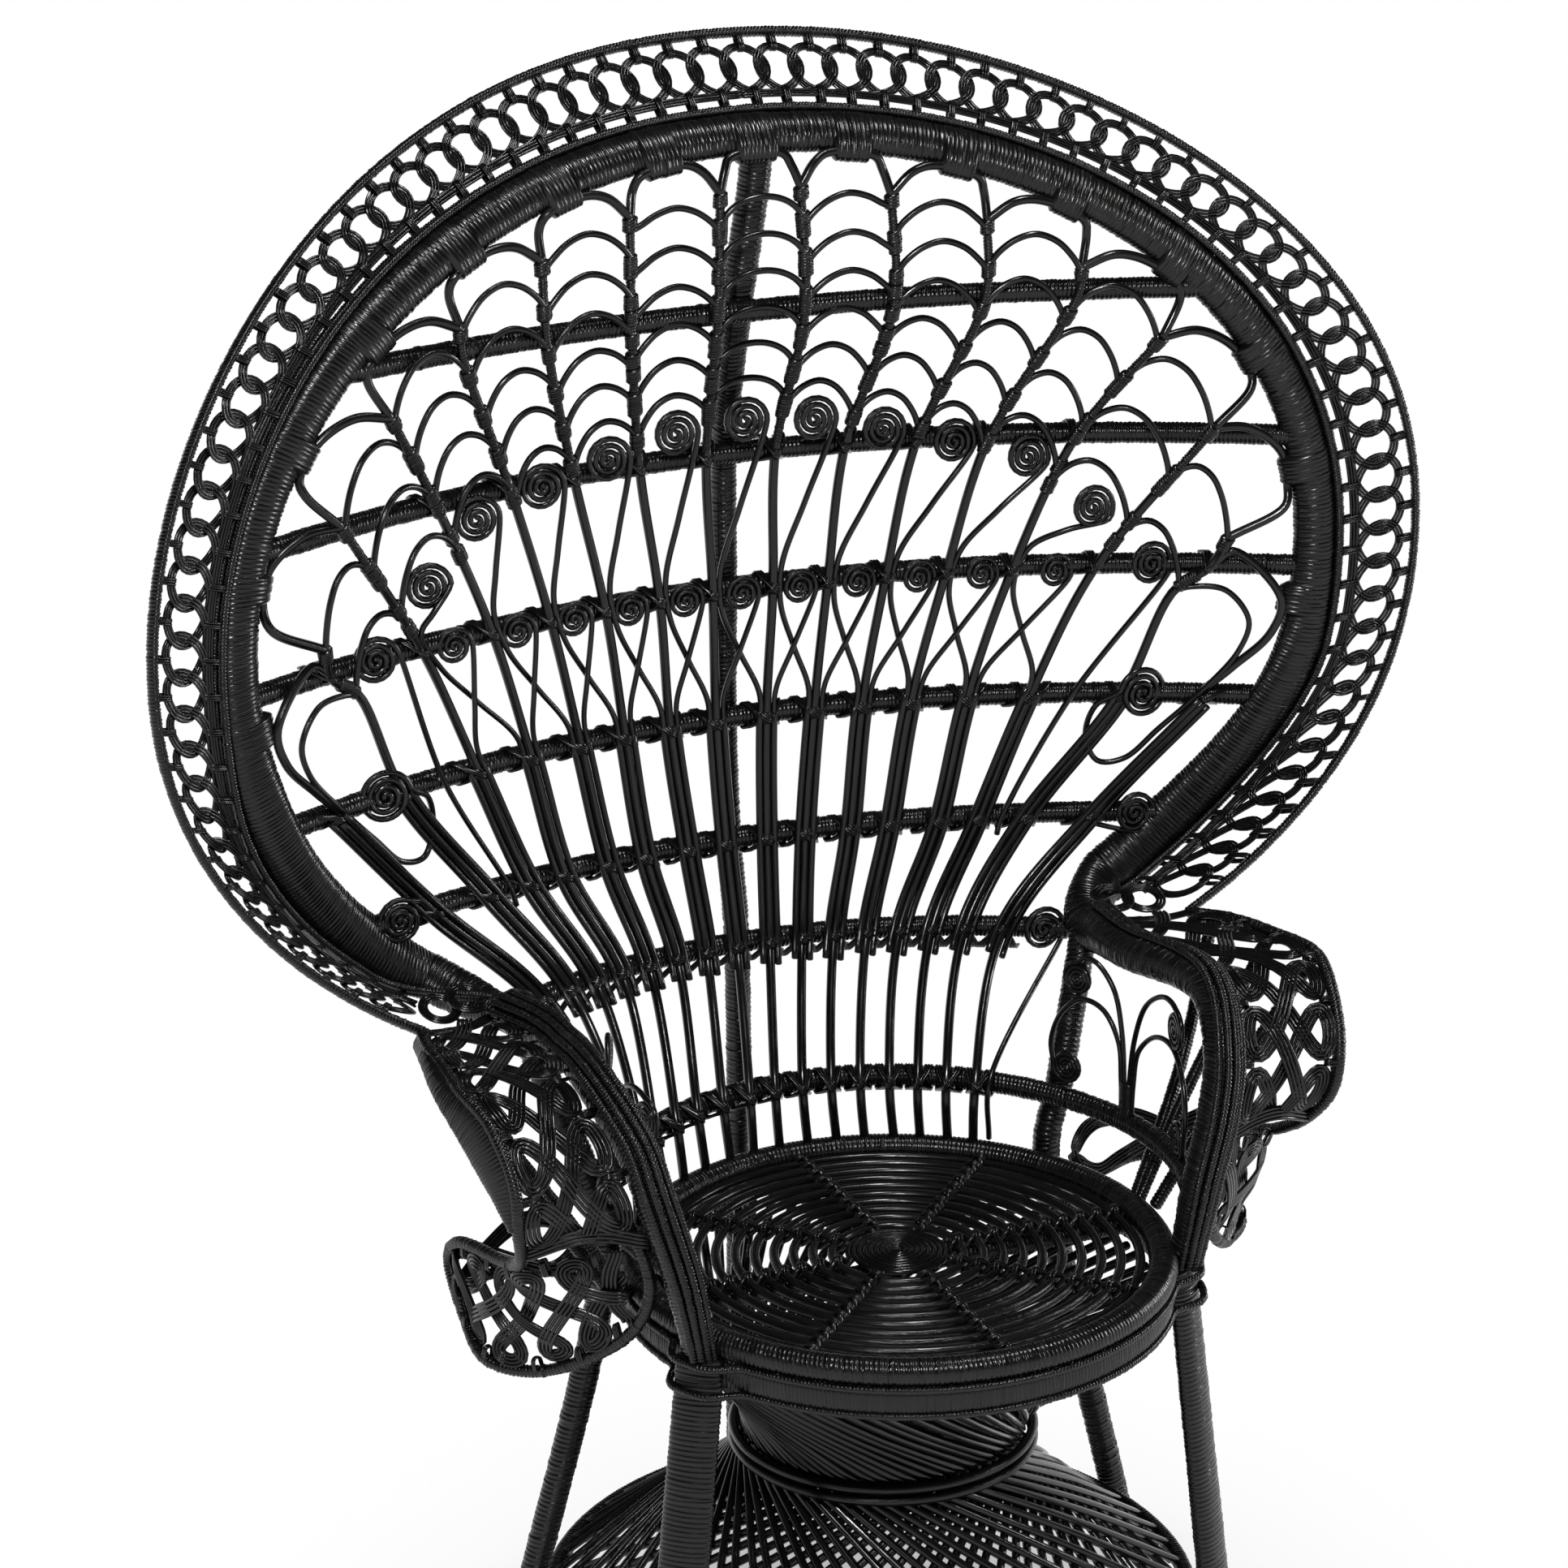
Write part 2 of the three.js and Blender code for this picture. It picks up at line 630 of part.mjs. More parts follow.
// The back leg runs on above the seat as the arm's rear post
function backLeg(side) {
  const outsideRail = ARM_RAIL_RADIUS + RAIL_RADIUS + BACK_LEG_RADIUS + 2 * GAP;
  const armRailSide = polar(outsideRail, BACK_LEG_ANGLE, ARM_RAIL_Z);
  const top = at(ARM_HALF_WIDTH - 6, ARM_WAIST_Y - 22, ARM_TOP_Z - ARM_RADIUS * 0.5);
  const points = mirrored([footDrop(backLegTop, backLegFoot), backLegTop, armRailSide, top], side);
  const bare = flatFoot(tube(points, BACK_LEG_RADIUS, 8, 10));
  return bare.subtract(armSolid(side, GAP)).subtract(hoopSolid(GAP));
}

// The centre post rises behind the rails to the hoop
function centrePost() {
  const behind = RAIL_RADIUS + POST_RADIUS + 3 * GAP;
  const outside = BASE_BACK + BASE_RING_RADIUS + BASE_RING_TUBE + POST_RADIUS + 2 * GAP;
  const lowest = RAILS[RAILS.length - 1];
  const points = [at(0, outside, -12), at(0, outside, BASE_RING_Z), at(0, lowest.back + behind, lowest.z)];
  [...RAILS].reverse().slice(1).forEach((rail) => points.push(at(0, rail.back + behind, rail.z)));
  const top = hoopAt(90);
  points.push(at(0, top.y + 2, top.z));
  return flatFoot(knotTube(points, POST_RADIUS, 8, 2)).subtract(hoopSolid(GAP));
}

// The bend where the hoop turns forward into the arm
function waistBend() {
  return at(ARM_HALF_WIDTH + 11, ARM_WAIST_Y - 6, ARM_TOP_Z - 5);
}

// Arms: from the waist of the hoop, forward and down to the front leg
function armPath(side) {
  const down = frontLegTop.clone().sub(frontLegFoot).normalize();
  const joint = frontLegTop.clone().addScaledVector(down, GAP);
  const knee = at(ARM_HALF_WIDTH - 26, ARM_FRONT_Y - 32, ARM_TOP_Z - 120);
  const rear = at(ARM_HALF_WIDTH - 8, ARM_WAIST_Y - 110, ARM_TOP_Z);
  const waist = hoopAt(-HOOP_END_ANGLE + 3);
  const bend = waistBend();
  const points = [
    waist.clone().addScaledVector(bend.clone().sub(waist).normalize(), HOOP_THICK),
    bend,
    rear,
    at(ARM_HALF_WIDTH, ARM_FRONT_Y + 40, ARM_TOP_Z),
    at(ARM_HALF_WIDTH, ARM_FRONT_Y - 6, ARM_TOP_Z - 24),
    at(ARM_HALF_WIDTH - 12, ARM_FRONT_Y - 24, ARM_TOP_Z - 66),
    joint.clone().addScaledVector(down, 70).lerp(knee, 0.5),
    joint,
  ];
  return mirrored(points, side);
}
function armSolid(side, grow) {
  return tube(armPath(side), ARM_RADIUS + grow, 8, 20);
}

// The curved rail behind the sitter's hips, from one arm post to the other
function armRail(grow) {
  const points = [];
  for (let angle = -22; angle <= 202; angle += 16) {
    points.push(polar(ARM_RAIL_RADIUS, angle, ARM_RAIL_Z));
  }
  const bare = tube(points, RAIL_RADIUS + grow, 6, 28);
  return bare.subtract(armSolid(1, GAP)).subtract(armSolid(-1, GAP));
}

// Rails run to the hoop, and the lowest one to the bend below it
function rail(place, grow) {
  const points = [];
  const rise = (place.z - HOOP_CENTRE_Z) / HOOP_HALF_HEIGHT;
  const reach = Math.max(HOOP_HALF_WIDTH * Math.sqrt(1 - rise ** 2), waistBend().x);
  for (let i = -6; i <= 6; i += 1) {
    const x = (reach * i) / 6;
    points.push(at(x, railDepth(place, x), place.z));
  }
  const bare = tube(points, RAIL_RADIUS + grow, 6, 14).subtract(hoopSolid(GAP));
  return bare.subtract(armSolid(1, GAP)).subtract(armSolid(-1, GAP));
}

// Panels outside the arms: an upper wing along the arm and a lobe below it
function panelRimPoints() {
  const outer = ARM_HALF_WIDTH + PANEL_REACH;
  const lobe = ARM_HALF_WIDTH + LOBE_REACH;
  const start = rimAt(-RIM_END_ANGLE);
  return [
    at(start.x, start.y - RIM_RADIUS, start.z - RIM_RADIUS - PANEL_RIM_RADIUS - GAP),
    at(outer - 4, ARM_FRONT_Y + 114, ARM_TOP_Z + 8),
    at(outer + 6, ARM_FRONT_Y + 29, ARM_TOP_Z - 5),
    at(outer - 13, ARM_FRONT_Y - 24, ARM_TOP_Z - 59),
    at(outer - 29, ARM_FRONT_Y + 10, ARM_TOP_Z - 116),
    at(lobe - 15, ARM_FRONT_Y + 79, ARM_TOP_Z - 128),
    at(lobe - 3, ARM_FRONT_Y + 165, ARM_TOP_Z - 163),
    at(lobe - 7, ARM_FRONT_Y + 200, ARM_TOP_Z - 197),
    at(lobe - 7, ARM_FRONT_Y + 165, ARM_TOP_Z - 231),
    at(lobe - 7, ARM_FRONT_Y + 107, ARM_TOP_Z - 248),
    at(lobe - 37, ARM_FRONT_Y + 75, ARM_TOP_Z - 250),
    at(lobe - 76, ARM_FRONT_Y + 28, ARM_TOP_Z - 227),
    at(ARM_HALF_WIDTH - 4, ARM_FRONT_Y - 2, ARM_TOP_Z - 188),
    at(ARM_HALF_WIDTH - 16, ARM_FRONT_Y - 24, ARM_TOP_Z - 145),
  ];
}
function panelRim(side, grow) {
  const bare = tube(mirrored(panelRimPoints(), side), PANEL_RIM_RADIUS + grow, 5, 32);
  return bare.subtract(armSolid(side, GAP));
}

function armPanel(side) {
  const wing = mirrored(panelRimPoints().slice(0, 5), side);
  const edge = new THREE.CatmullRomCurve3(wing, false, 'centripetal');
  const arm = new THREE.CatmullRomCurve3(armPath(side).slice(1, 7), false, 'centripetal');
  const inner = (u) => {
    const from = arm.getPoint(u);
    return from.addScaledVector(edge.getPoint(u).sub(from).normalize(), ARM_RADIUS + 2 * GAP);
  };
  const outer = (u) => {
    const from = edge.getPoint(u);
    return from.addScaledVector(arm.getPoint(u).sub(from).normalize(), PANEL_RIM_RADIUS + 2 * GAP);
  };
  const band = eyeletBand(inner, outer, 0.08, 0.9, PANEL_CELLS, PANEL_THICK, 0.66);
  return band.subtract(armSolid(side, GAP)).subtract(panelRim(side, GAP));
}

function armLobe(side) {
  const points = mirrored(panelRimPoints(), side);
  const upper = new THREE.CatmullRomCurve3(points.slice(4, 8), false, 'centripetal');
  const lower = new THREE.CatmullRomCurve3(points.slice(8, 13).reverse(), false, 'centripetal');
  const clear = PANEL_RIM_RADIUS + 2 * GAP;
  const inner = (u) => {
    const from = upper.getPoint(u);
    return from.addScaledVector(lower.getPoint(u).sub(from).normalize(), clear);
  };
  const outer = (u) => {
    const from = lower.getPoint(u);
    return from.addScaledVector(upper.getPoint(u).sub(from).normalize(), clear);
  };
  const band = eyeletBand(inner, outer, 0.12, 0.8, LOBE_CELLS, PANEL_THICK, 0.66);
  return band.subtract(panelRim(side, GAP));
}

// The heart of four curled canes that stands on the curved rail under each arm
function armMotif(side) {
  const foot = polar(ARM_RAIL_RADIUS, 6, ARM_RAIL_Z);
  const lean = at(foot.x * side + side * 4, foot.y, foot.z);
  const room = ARM_TOP_Z - ARM_RADIUS - ARM_RAIL_Z;
  const bits = [];
  [-1, 1].forEach((hand) => {
    [[52, room - 23, 30], [46, room - 59, 8]].forEach(([reach, height, curl]) => {
      const points = [
        lean.clone(),
        lean.clone().add(at(side * 3, hand * 3, height * 0.6)),
        lean.clone().add(at(side * 5, hand * reach * 0.55, height)),
        lean.clone().add(at(side * 5, hand * reach, height * 0.72)),
        lean.clone().add(at(side * 4, hand * (reach - 6), curl)),
      ];
      bits.push(tube(points, MOTIF_RADIUS, 4, 7));
    });
  });
  return joinAll(bits).subtract(armRail(GAP));
}

// Twisted canes between two level rings
function twist(top, bottom, angle, collar) {
  const bits = [turned(collar, ROUND_STEPS, WAIST_BACK)];
  for (let i = 0; i < TWIST_CANES; i += 1) {
    const start = (360 * i) / TWIST_CANES;
    const a = polar(top.radius, start, top.z).add(at(0, top.back, 0));
    const b = polar(bottom.radius, start + angle, bottom.z).add(at(0, bottom.back, 0));
    const chord = a.clone().lerp(b, 0.5);
    const middleBack = (top.back + bottom.back) / 2;
    const flat = at(chord.x, chord.y - middleBack, 0);
    const target = (top.radius + bottom.radius) / 2;
    chord.addScaledVector(flat.clone().normalize(), (target - flat.length()) * 0.4);
    bits.push(tube([a, chord, b], TWIST_CANE_RADIUS, 3, 3));
  }
  return joinAll(bits);
}

const waistHalf = 14;
const collarInner = WAIST_RADIUS - 10;
function collarOutline(low, high) {
  return [[collarInner, low], [WAIST_RADIUS, low], [WAIST_RADIUS, high], [collarInner, high]];
}
const waistPlace = (z) => ({ radius: WAIST_RADIUS - TWIST_CANE_RADIUS - 3, z, back: WAIST_BACK });

function upperTwist() {
  const top = { radius: SEAT_RADIUS - 6, z: SEAT_HEIGHT - SEAT_RING_DEPTH + 4, back: 0 };
  const collar = collarOutline(WAIST_Z + GAP / 2, WAIST_Z + waistHalf);
  const legs = [1, -1].map((side) => frontLeg(side, GAP));
  const whole = twist(top, waistPlace(WAIST_Z + waistHalf / 2), TWIST_ANGLE, collar);
  return legs.reduce((rest, leg) => rest.subtract(leg), whole.subtract(seatRingSolid(GAP)));
}

function lowerTwist() {
  const bottom = { radius: BASE_RING_RADIUS - 2, z: BASE_RING_Z + 2, back: BASE_BACK };
  const collar = collarOutline(WAIST_Z - waistHalf, WAIST_Z - GAP / 2);
  const whole = twist(waistPlace(WAIST_Z - waistHalf / 2), bottom, TWIST_ANGLE, collar);
  return whole.subtract(baseRing(GAP));
}

function waistRing() {
  const inner = WAIST_RADIUS + GAP;
  const outer = inner + WAIST_BAND;
  const half = waistHalf * 0.8;
  const outline = [
    [inner, WAIST_Z - half], [outer - 3, WAIST_Z - half], [outer, WAIST_Z - half / 2], [outer - 4, WAIST_Z],
    [outer, WAIST_Z + half / 2], [outer - 3, WAIST_Z + half], [inner, WAIST_Z + half],
  ];
  return turned(outline, ROUND_STEPS, WAIST_BACK);
}

function baseRing(grow) {
  const outline = roundOutline(BASE_RING_RADIUS, BASE_RING_Z, BASE_RING_TUBE + grow, 6);
  return turned(outline, ROUND_STEPS, BASE_BACK);
}

// Back
addPiece('back_hoop', hoopSolid(0));
const rimGuide = (point) => acrossAt(rimAt, ovalAngle(point, RIM));
const rimPath = new GuidedCurve(ovalRun(rimAt, RIM_END_ANGLE, 36), rimGuide);
addPiece('outer_rim', sweep(ovalShape(5, RIM_RADIUS, RIM_RADIUS), rimPath, 48));
const borderInner = (angle) => hoopAt(angle).addScaledVector(outwardAt(angle), HOOP_FACE + 4 * GAP);
const borderOuter = (angle) => rimAt(angle).addScaledVector(acrossAt(rimAt, angle), -RIM_RADIUS - 2 * GAP);
const borderSpan = (180 + 2 * (RIM_END_ANGLE - 2)) / BORDER_PIECES;
const SPLIT_ANGLE = 0.05;
for (let i = 0; i < BORDER_PIECES; i += 1) {
  const from = 180 + RIM_END_ANGLE - 2 - borderSpan * i - SPLIT_ANGLE;
  const to = from - borderSpan + 2 * SPLIT_ANGLE;
  const band = eyeletBand(borderInner, borderOuter, from, to, LINKS_PER_PIECE, BORDER_THICK, LINK_EYE);
  addPiece(`chain_border_${i + 1}`, band);
}
RAILS.forEach((place) => addPiece(place.name, rail(place, 0)));
addPiece('arm_rail', armRail(0));
addPiece('centre_post', centrePost());
const ringClear = seatRingSolid(GAP);
const railsClear = [armRail(GAP), ...RAILS.map((place) => rail(place, GAP))];
const clearOf = (solid, others) => others.reduce((rest, other) => rest.subtract(other), solid);
for (let rib = 0; rib < RIBS_PER_SIDE; rib += 1) {
  addPiece(`stave_left_${rib + 1}`, clearOf(stave(rib, -1), [ringClear, ...railsClear]));
  addPiece(`stave_right_${rib + 1}`, clearOf(stave(rib, 1), [ringClear, ...railsClear]));
}

// Arms and legs
const SIDES = [['left', -1], ['right', 1]];
SIDES.forEach(([name, side]) => {
  const bareArm = armSolid(side, 0).subtract(hoopSolid(GAP)).subtract(ringClear);
  addPiece(`arm_${name}`, bareArm.subtract(frontLeg(side, GAP)));
  addPiece(`arm_panel_${name}`, armPanel(side));
  addPiece(`arm_lobe_${name}`, armLobe(side));
  addPiece(`arm_panel_rim_${name}`, panelRim(side, 0));
  addPiece(`arm_motif_${name}`, armMotif(side));
  addPiece(`leg_front_${name}`, frontLeg(side, 0).subtract(ringClear));
  addPiece(`leg_back_${name}`, backLeg(side).subtract(ringClear));
});

// Seat and base
addPiece('seat_ring', seatRingSolid(0));
addPiece('seat_mat', seatMat());
addPiece('seat_centre', seatCentre());
addPiece('seat_bar_1', seatBar(0, 0));
addPiece('seat_bar_2', seatBar(90, 2 * SEAT_BAR_RADIUS + GAP));
addPiece('base_twist_upper', upperTwist());
addPiece('waist_ring', waistRing());
addPiece('base_twist_lower', lowerTwist());
addPiece('base_ring', baseRing(0));

// The origin is the middle of the footprint
const box = new THREE.Box3().setFromObject(chair);
const middle = box.getCenter(new THREE.Vector3());
chair.position.set(-middle.x, -middle.y, -box.min.z);

export default chair;
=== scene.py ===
"""Peacock chair: woven rattan in black lacquer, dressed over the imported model."""
import math

import bpy
import numpy as np
from mathutils import Matrix


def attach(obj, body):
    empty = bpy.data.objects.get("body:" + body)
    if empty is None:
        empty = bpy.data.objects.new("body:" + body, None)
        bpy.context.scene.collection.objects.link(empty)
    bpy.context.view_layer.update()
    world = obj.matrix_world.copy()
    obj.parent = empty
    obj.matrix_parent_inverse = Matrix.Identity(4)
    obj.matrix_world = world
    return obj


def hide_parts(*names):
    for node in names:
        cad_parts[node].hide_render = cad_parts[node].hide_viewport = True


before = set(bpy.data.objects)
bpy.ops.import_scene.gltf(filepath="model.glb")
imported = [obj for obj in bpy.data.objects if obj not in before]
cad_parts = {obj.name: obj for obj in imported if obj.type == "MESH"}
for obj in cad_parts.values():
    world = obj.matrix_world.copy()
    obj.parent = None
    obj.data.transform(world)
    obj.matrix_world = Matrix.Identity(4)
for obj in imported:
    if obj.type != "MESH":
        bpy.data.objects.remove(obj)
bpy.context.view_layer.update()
rng = np.random.default_rng(7)

# All places below are in millimetres from the seat's axis at floor level, as in the part's source.
SEAT_AXIS_Y = -79.718

UP = np.array([0.0, 0.0, 1.0])
FRONT = np.array([0.0, -1.0, 0.0])
RIGHT = np.array([1.0, 0.0, 0.0])
TURN = math.tau
SIDES = (("left", -1), ("right", 1))


def at(*xyz):
    return np.array(xyz, float)


def unit(v):
    v = np.asarray(v, float)
    return v / np.maximum(np.linalg.norm(v, axis=-1, keepdims=True), 1e-9)


def flat(v, along):
    """The part of v that is square to along, at unit length."""
    along = np.asarray(along, float)
    return unit(v - np.sum(v * along, -1, keepdims=True) * along)


def mirror(points, side):
    return np.asarray(points, float) * at(side, 1, 1)


def ease(share):
    """A smooth rise from 0 to 1."""
    share = np.clip(share, 0, 1)
    return share * share * (3 - 2 * share)


# Paths
SPAN_STEPS = 16


def lengths(path):
    return np.concatenate([[0], np.cumsum(np.linalg.norm(np.diff(path, axis=0), axis=1))])


def spaced(path, places, reach=None):
    """Points of a path at the given lengths along it; reach, if given, says where its own points lie."""
    reach = lengths(path) if reach is None else reach
    return np.stack([np.interp(places, reach, path[:, k]) for k in range(3)], -1)


def blend(a, b, first, last, t):
    return ((last - t) * a + (t - first) * b) / (last - first)


def smooth(points, step):
    """A smooth curve through the points, sampled about every step."""
    p = np.asarray(points, float)
    p = np.vstack([2 * p[0] - p[1], p, 2 * p[-1] - p[-2]])
    spans = np.sqrt(np.linalg.norm(np.diff(p, axis=0), axis=1)) + 1e-6
    knots = np.concatenate([[0], np.cumsum(spans)])
    fine = []
    for i in range(1, len(p) - 2):
        t = np.linspace(knots[i], knots[i + 1], SPAN_STEPS, endpoint=False)[:, None]
        a = [blend(p[i + k - 1], p[i + k], knots[i + k - 1], knots[i + k], t) for k in range(3)]
        b = [blend(a[k], a[k + 1], knots[i + k - 1], knots[i + k + 1], t) for k in range(2)]
        fine.append(blend(*b, knots[i], knots[i + 1], t))
    fine = np.vstack(fine + [p[-2:-1]])
    total = lengths(fine)[-1]
    return spaced(fine, np.linspace(0, total, max(2, round(total / step) + 1)))


def even(points, count):
    path = smooth(points, 2.0)
    return spaced(path, np.linspace(0, lengths(path)[-1], count))


def level(reach, turn, z):
    """Points round the seat's axis."""
    return np.stack([reach * np.cos(turn), reach * np.sin(turn), z + 0 * turn], -1)


def coil(centre, across, up, size, turn):
    """Points of a flat ring or spiral."""
    return centre + np.outer(size * np.cos(turn), across) + np.outer(size * np.sin(turn), up)


def tangents(path, closed=False):
    if closed:
        return unit(np.roll(path, -1, 0) - np.roll(path, 1, 0))
    return unit(np.gradient(path, axis=0))


def carried(path):
    """Side directions carried along a path without twist."""
    along = tangents(path)
    side = flat(UP if abs(along[0] @ UP) < 0.9 else RIGHT, along[0])
    sides = []
    for t in along:
        side = flat(side, t)
        sides.append(side)
    return np.array(sides)


class Strip:
    """The face between two edges: s runs along its middle, and v across it from 0 inside to 1 outside."""

    def __init__(self, inner, outer):
        self.inner, self.outer, self.middle = inner, outer, (inner + outer) / 2
        self.reach = lengths(self.middle)
        self.length = self.reach[-1]

    def across(self, s):
        return spaced(self.outer, s, self.reach) - spaced(self.inner, s, self.reach)

    def at(self, s, v):
        return spaced(self.inner, s, self.reach) + self.across(s) * np.asarray(v)[..., None]

    def lifted(self, s, v, lift):
        ahead = spaced(self.middle, s + 1, self.reach) - spaced(self.middle, s - 1, self.reach)
        return self.at(s, v) + unit(np.cross(ahead, self.across(s))) * lift[:, None]

    def normal(self, s, v):
        ahead = self.at(s + 1, v) - self.at(s - 1, v)
        return unit(np.cross(ahead, self.at(s, v + 0.02) - self.at(s, v - 0.02)))

    def tie(self, weave, s, low, high, half):
        """A tie round what lies between two places across the strip."""
        a, b = self.at(s, low), self.at(s, high)
        ahead = unit(self.at(s + 2, 0.5) - self.at(s - 2, 0.5))
        weave.tie(a, b, ahead, unit(np.cross(ahead, b - a)), half, 1.5)


# Canes
# How a bare end is rounded: shares of the cane's size and of the end's reach
END_ROUNDS, END_REACH = ((0.03, 1), (0.75, 0.75)), 0.35
# One turn of a winding: how far along it, and how deep in the groove
RIDGE_SHARE, RIDGE_SINK = np.array([0.0, 0.2, 0.5, 0.8]), np.array([1.0, 0.25, 0.0, 0.25])
# How turns differ in size, as a share of the groove, and in slant; and the side that a strip slants to
TURN_SWELL, TURN_SLANT, SLANT_SIDE = 0.22, 0.05, 0.6
RING_GROOVE, RING_SWELL, RING_LEAN = 0.75, 0.08, 0.1
# Canes of a flat strand lie this many radii apart
STRAND_PITCH = 1.95
SCROLL_STEPS = 18
TIE_STEPS, TIE_SQUARE = 14, (0.6, 0.8)


def pair(size):
    return size if isinstance(size, tuple) else (size, size)


class Weave:
    """Collects swept canes and makes one object of them."""

    def __init__(self, name):
        self.name = name
        self.places, self.faces, self.lay, self.count = [], [], [], 0

    def sweep(self, path, size, sides, guide=None, closed=False, tone=None, lean=0.0):
        """A tube along path; of two sizes the first runs along the guide and the other square to it."""
        n, along = len(path), tangents(path, closed)
        side = carried(path) if guide is None else flat(np.broadcast_to(guide, (n, 3)), along)
        other = np.cross(along, side)
        turn = TURN * np.arange(sides) / sides
        waves = np.cos(turn), np.sin(turn), np.cos(turn - SLANT_SIDE)
        c, s, slant = (wave[None, :, None] for wave in waves)
        wide, deep, lean = (np.broadcast_to(one, n)[:, None, None] for one in (*pair(size), lean))
        rings = path[:, None] + side[:, None] * wide * c + other[:, None] * deep * s
        rings = rings + along[:, None] * lean * deep * slant
        reach = lengths(path)
        tone = np.broadcast_to(rng.random() if tone is None else tone, n)
        if not closed:
            first, last, end = rings[0].mean(0), rings[-1].mean(0), END_REACH * deep[0, 0, 0]
            head = [first + (rings[0] - first) * k - along[0] * end * m for k, m in END_ROUNDS]
            tail = [last + (rings[-1] - last) * k + along[-1] * end * m for k, m in END_ROUNDS[::-1]]
            rings = np.concatenate([head, rings, tail])
            reach, tone = (np.pad(one, len(END_ROUNDS), "edge") for one in (reach, tone))
        index = np.arange(len(rings) * sides).reshape(-1, sides) + self.count
        a = index if closed else index[:-1]
        d = np.roll(index, -1, 0) if closed else index[1:]
        lay = np.broadcast_arrays(reach[:, None], np.arange(sides) / sides, tone[:, None])
        self.places.append(rings.reshape(-1, 3))
        self.faces.append(np.stack([a, np.roll(a, -1, 1), np.roll(d, -1, 1), d], -1).reshape(-1, 4))
        self.lay.append(np.stack(lay, -1).reshape(-1, 3))
        self.count += index.size

    def cane(self, points, radius, step=6.0, sides=7):
        self.sweep(smooth(points, step), radius, sides)

    def strand(self, path, across, canes, cane, sides, guide=None):
        """Canes side by side."""
        for k in range(canes):
            offset = across * (k - (canes - 1) / 2) * cane * STRAND_PITCH
            self.sweep(path + offset, cane, sides, guide)

    def wound(self, path, size, pitch, sides=12, guide=None, groove=0.75, lean=0.12):
        """A rod wound side by side with flat cane: one ridge for each turn."""
        reach = lengths(path)
        turns, points = max(2, round(reach[-1] / pitch)), len(RIDGE_SHARE)
        places = (np.arange(turns)[:, None] + RIDGE_SHARE).ravel() / turns * reach[-1]
        swell = np.repeat(rng.normal(0, TURN_SWELL * groove, turns), points)
        swell = swell - np.tile(RIDGE_SINK, turns) * groove
        tilt = np.repeat(lean + rng.normal(0, TURN_SLANT, turns), points)
        tone = np.repeat(rng.random(turns), points)
        if np.ndim(guide) == 2:
            guide = spaced(guide, places, reach)
        size = (np.interp(places, reach, np.broadcast_to(one, len(path))) + swell for one in pair(size))
        self.sweep(spaced(path, places), tuple(size), sides, guide, tone=tone, lean=tilt)

    def ring(self, radius, z, size, pitch, sides, back=0):
        """A level ring wound with cane."""
        turns, points = round(TURN * radius / pitch), len(RIDGE_SINK)
        out = level(1, TURN * np.arange(points * turns) / (points * turns), 0)
        swell = np.repeat(rng.normal(0, RING_SWELL, turns), points) - np.tile(RIDGE_SINK, turns) * RING_GROOVE
        tone = np.repeat(rng.random(turns), points)
        tilt = np.repeat(RING_LEAN + rng.normal(0, TURN_SLANT, turns), points)
        size = tuple(one + swell for one in pair(size))
        self.sweep(at(0, back, z) + radius * out, size, sides, out, True, tone, tilt)

    def hoop(self, radius, z, cane, steps=96, back=0):
        """A level ring of bare cane."""
        out = level(1, TURN * np.arange(steps) / steps, 0)
        self.sweep(at(0, back, z) + radius * out, cane, 8, out, True)

    def scroll(self, centre, radius, turns, cane, stem):
        """An upright spiral whose outer end runs on along the stem's points, and leaves towards the first."""
        ahead = np.asarray(stem[0]) - centre
        start = math.atan2(ahead @ RIGHT, -(ahead @ UP)) * 0.8
        turn = np.linspace(turns * TURN, 0, round(turns * SCROLL_STEPS))
        size = cane * 0.4 + (radius - cane * 1.4) * turn[::-1] / turn[0]
        curl = coil(centre, RIGHT, UP, size, start + turn)
        tail = smooth(np.vstack([curl[-3:], stem]), 5.0)
        self.sweep(np.vstack([curl[:-3], tail]), cane, 6, FRONT)

    def tie(self, low, high, along, normal, half, thick, strands=3, cane=1.1):
        """Turns of thin cane around everything between two points."""
        middle, reach = (low + high) / 2, np.linalg.norm(high - low) / 2
        turn = TURN * np.arange(TIE_STEPS) / TIE_STEPS
        a, b = (np.sign(wave) * np.abs(wave) ** power
                for wave, power in zip((np.cos(turn), np.sin(turn)), TIE_SQUARE))
        loop = middle + np.outer(a * (reach + thick), unit(high - low)) + np.outer(b * half, normal)
        for k in range(strands):
            shift = (k - (strands - 1) / 2) * cane * 1.75 + rng.normal(0, 0.15)
            self.sweep(loop + along * shift, (cane, cane * 0.8), 5, along, True)

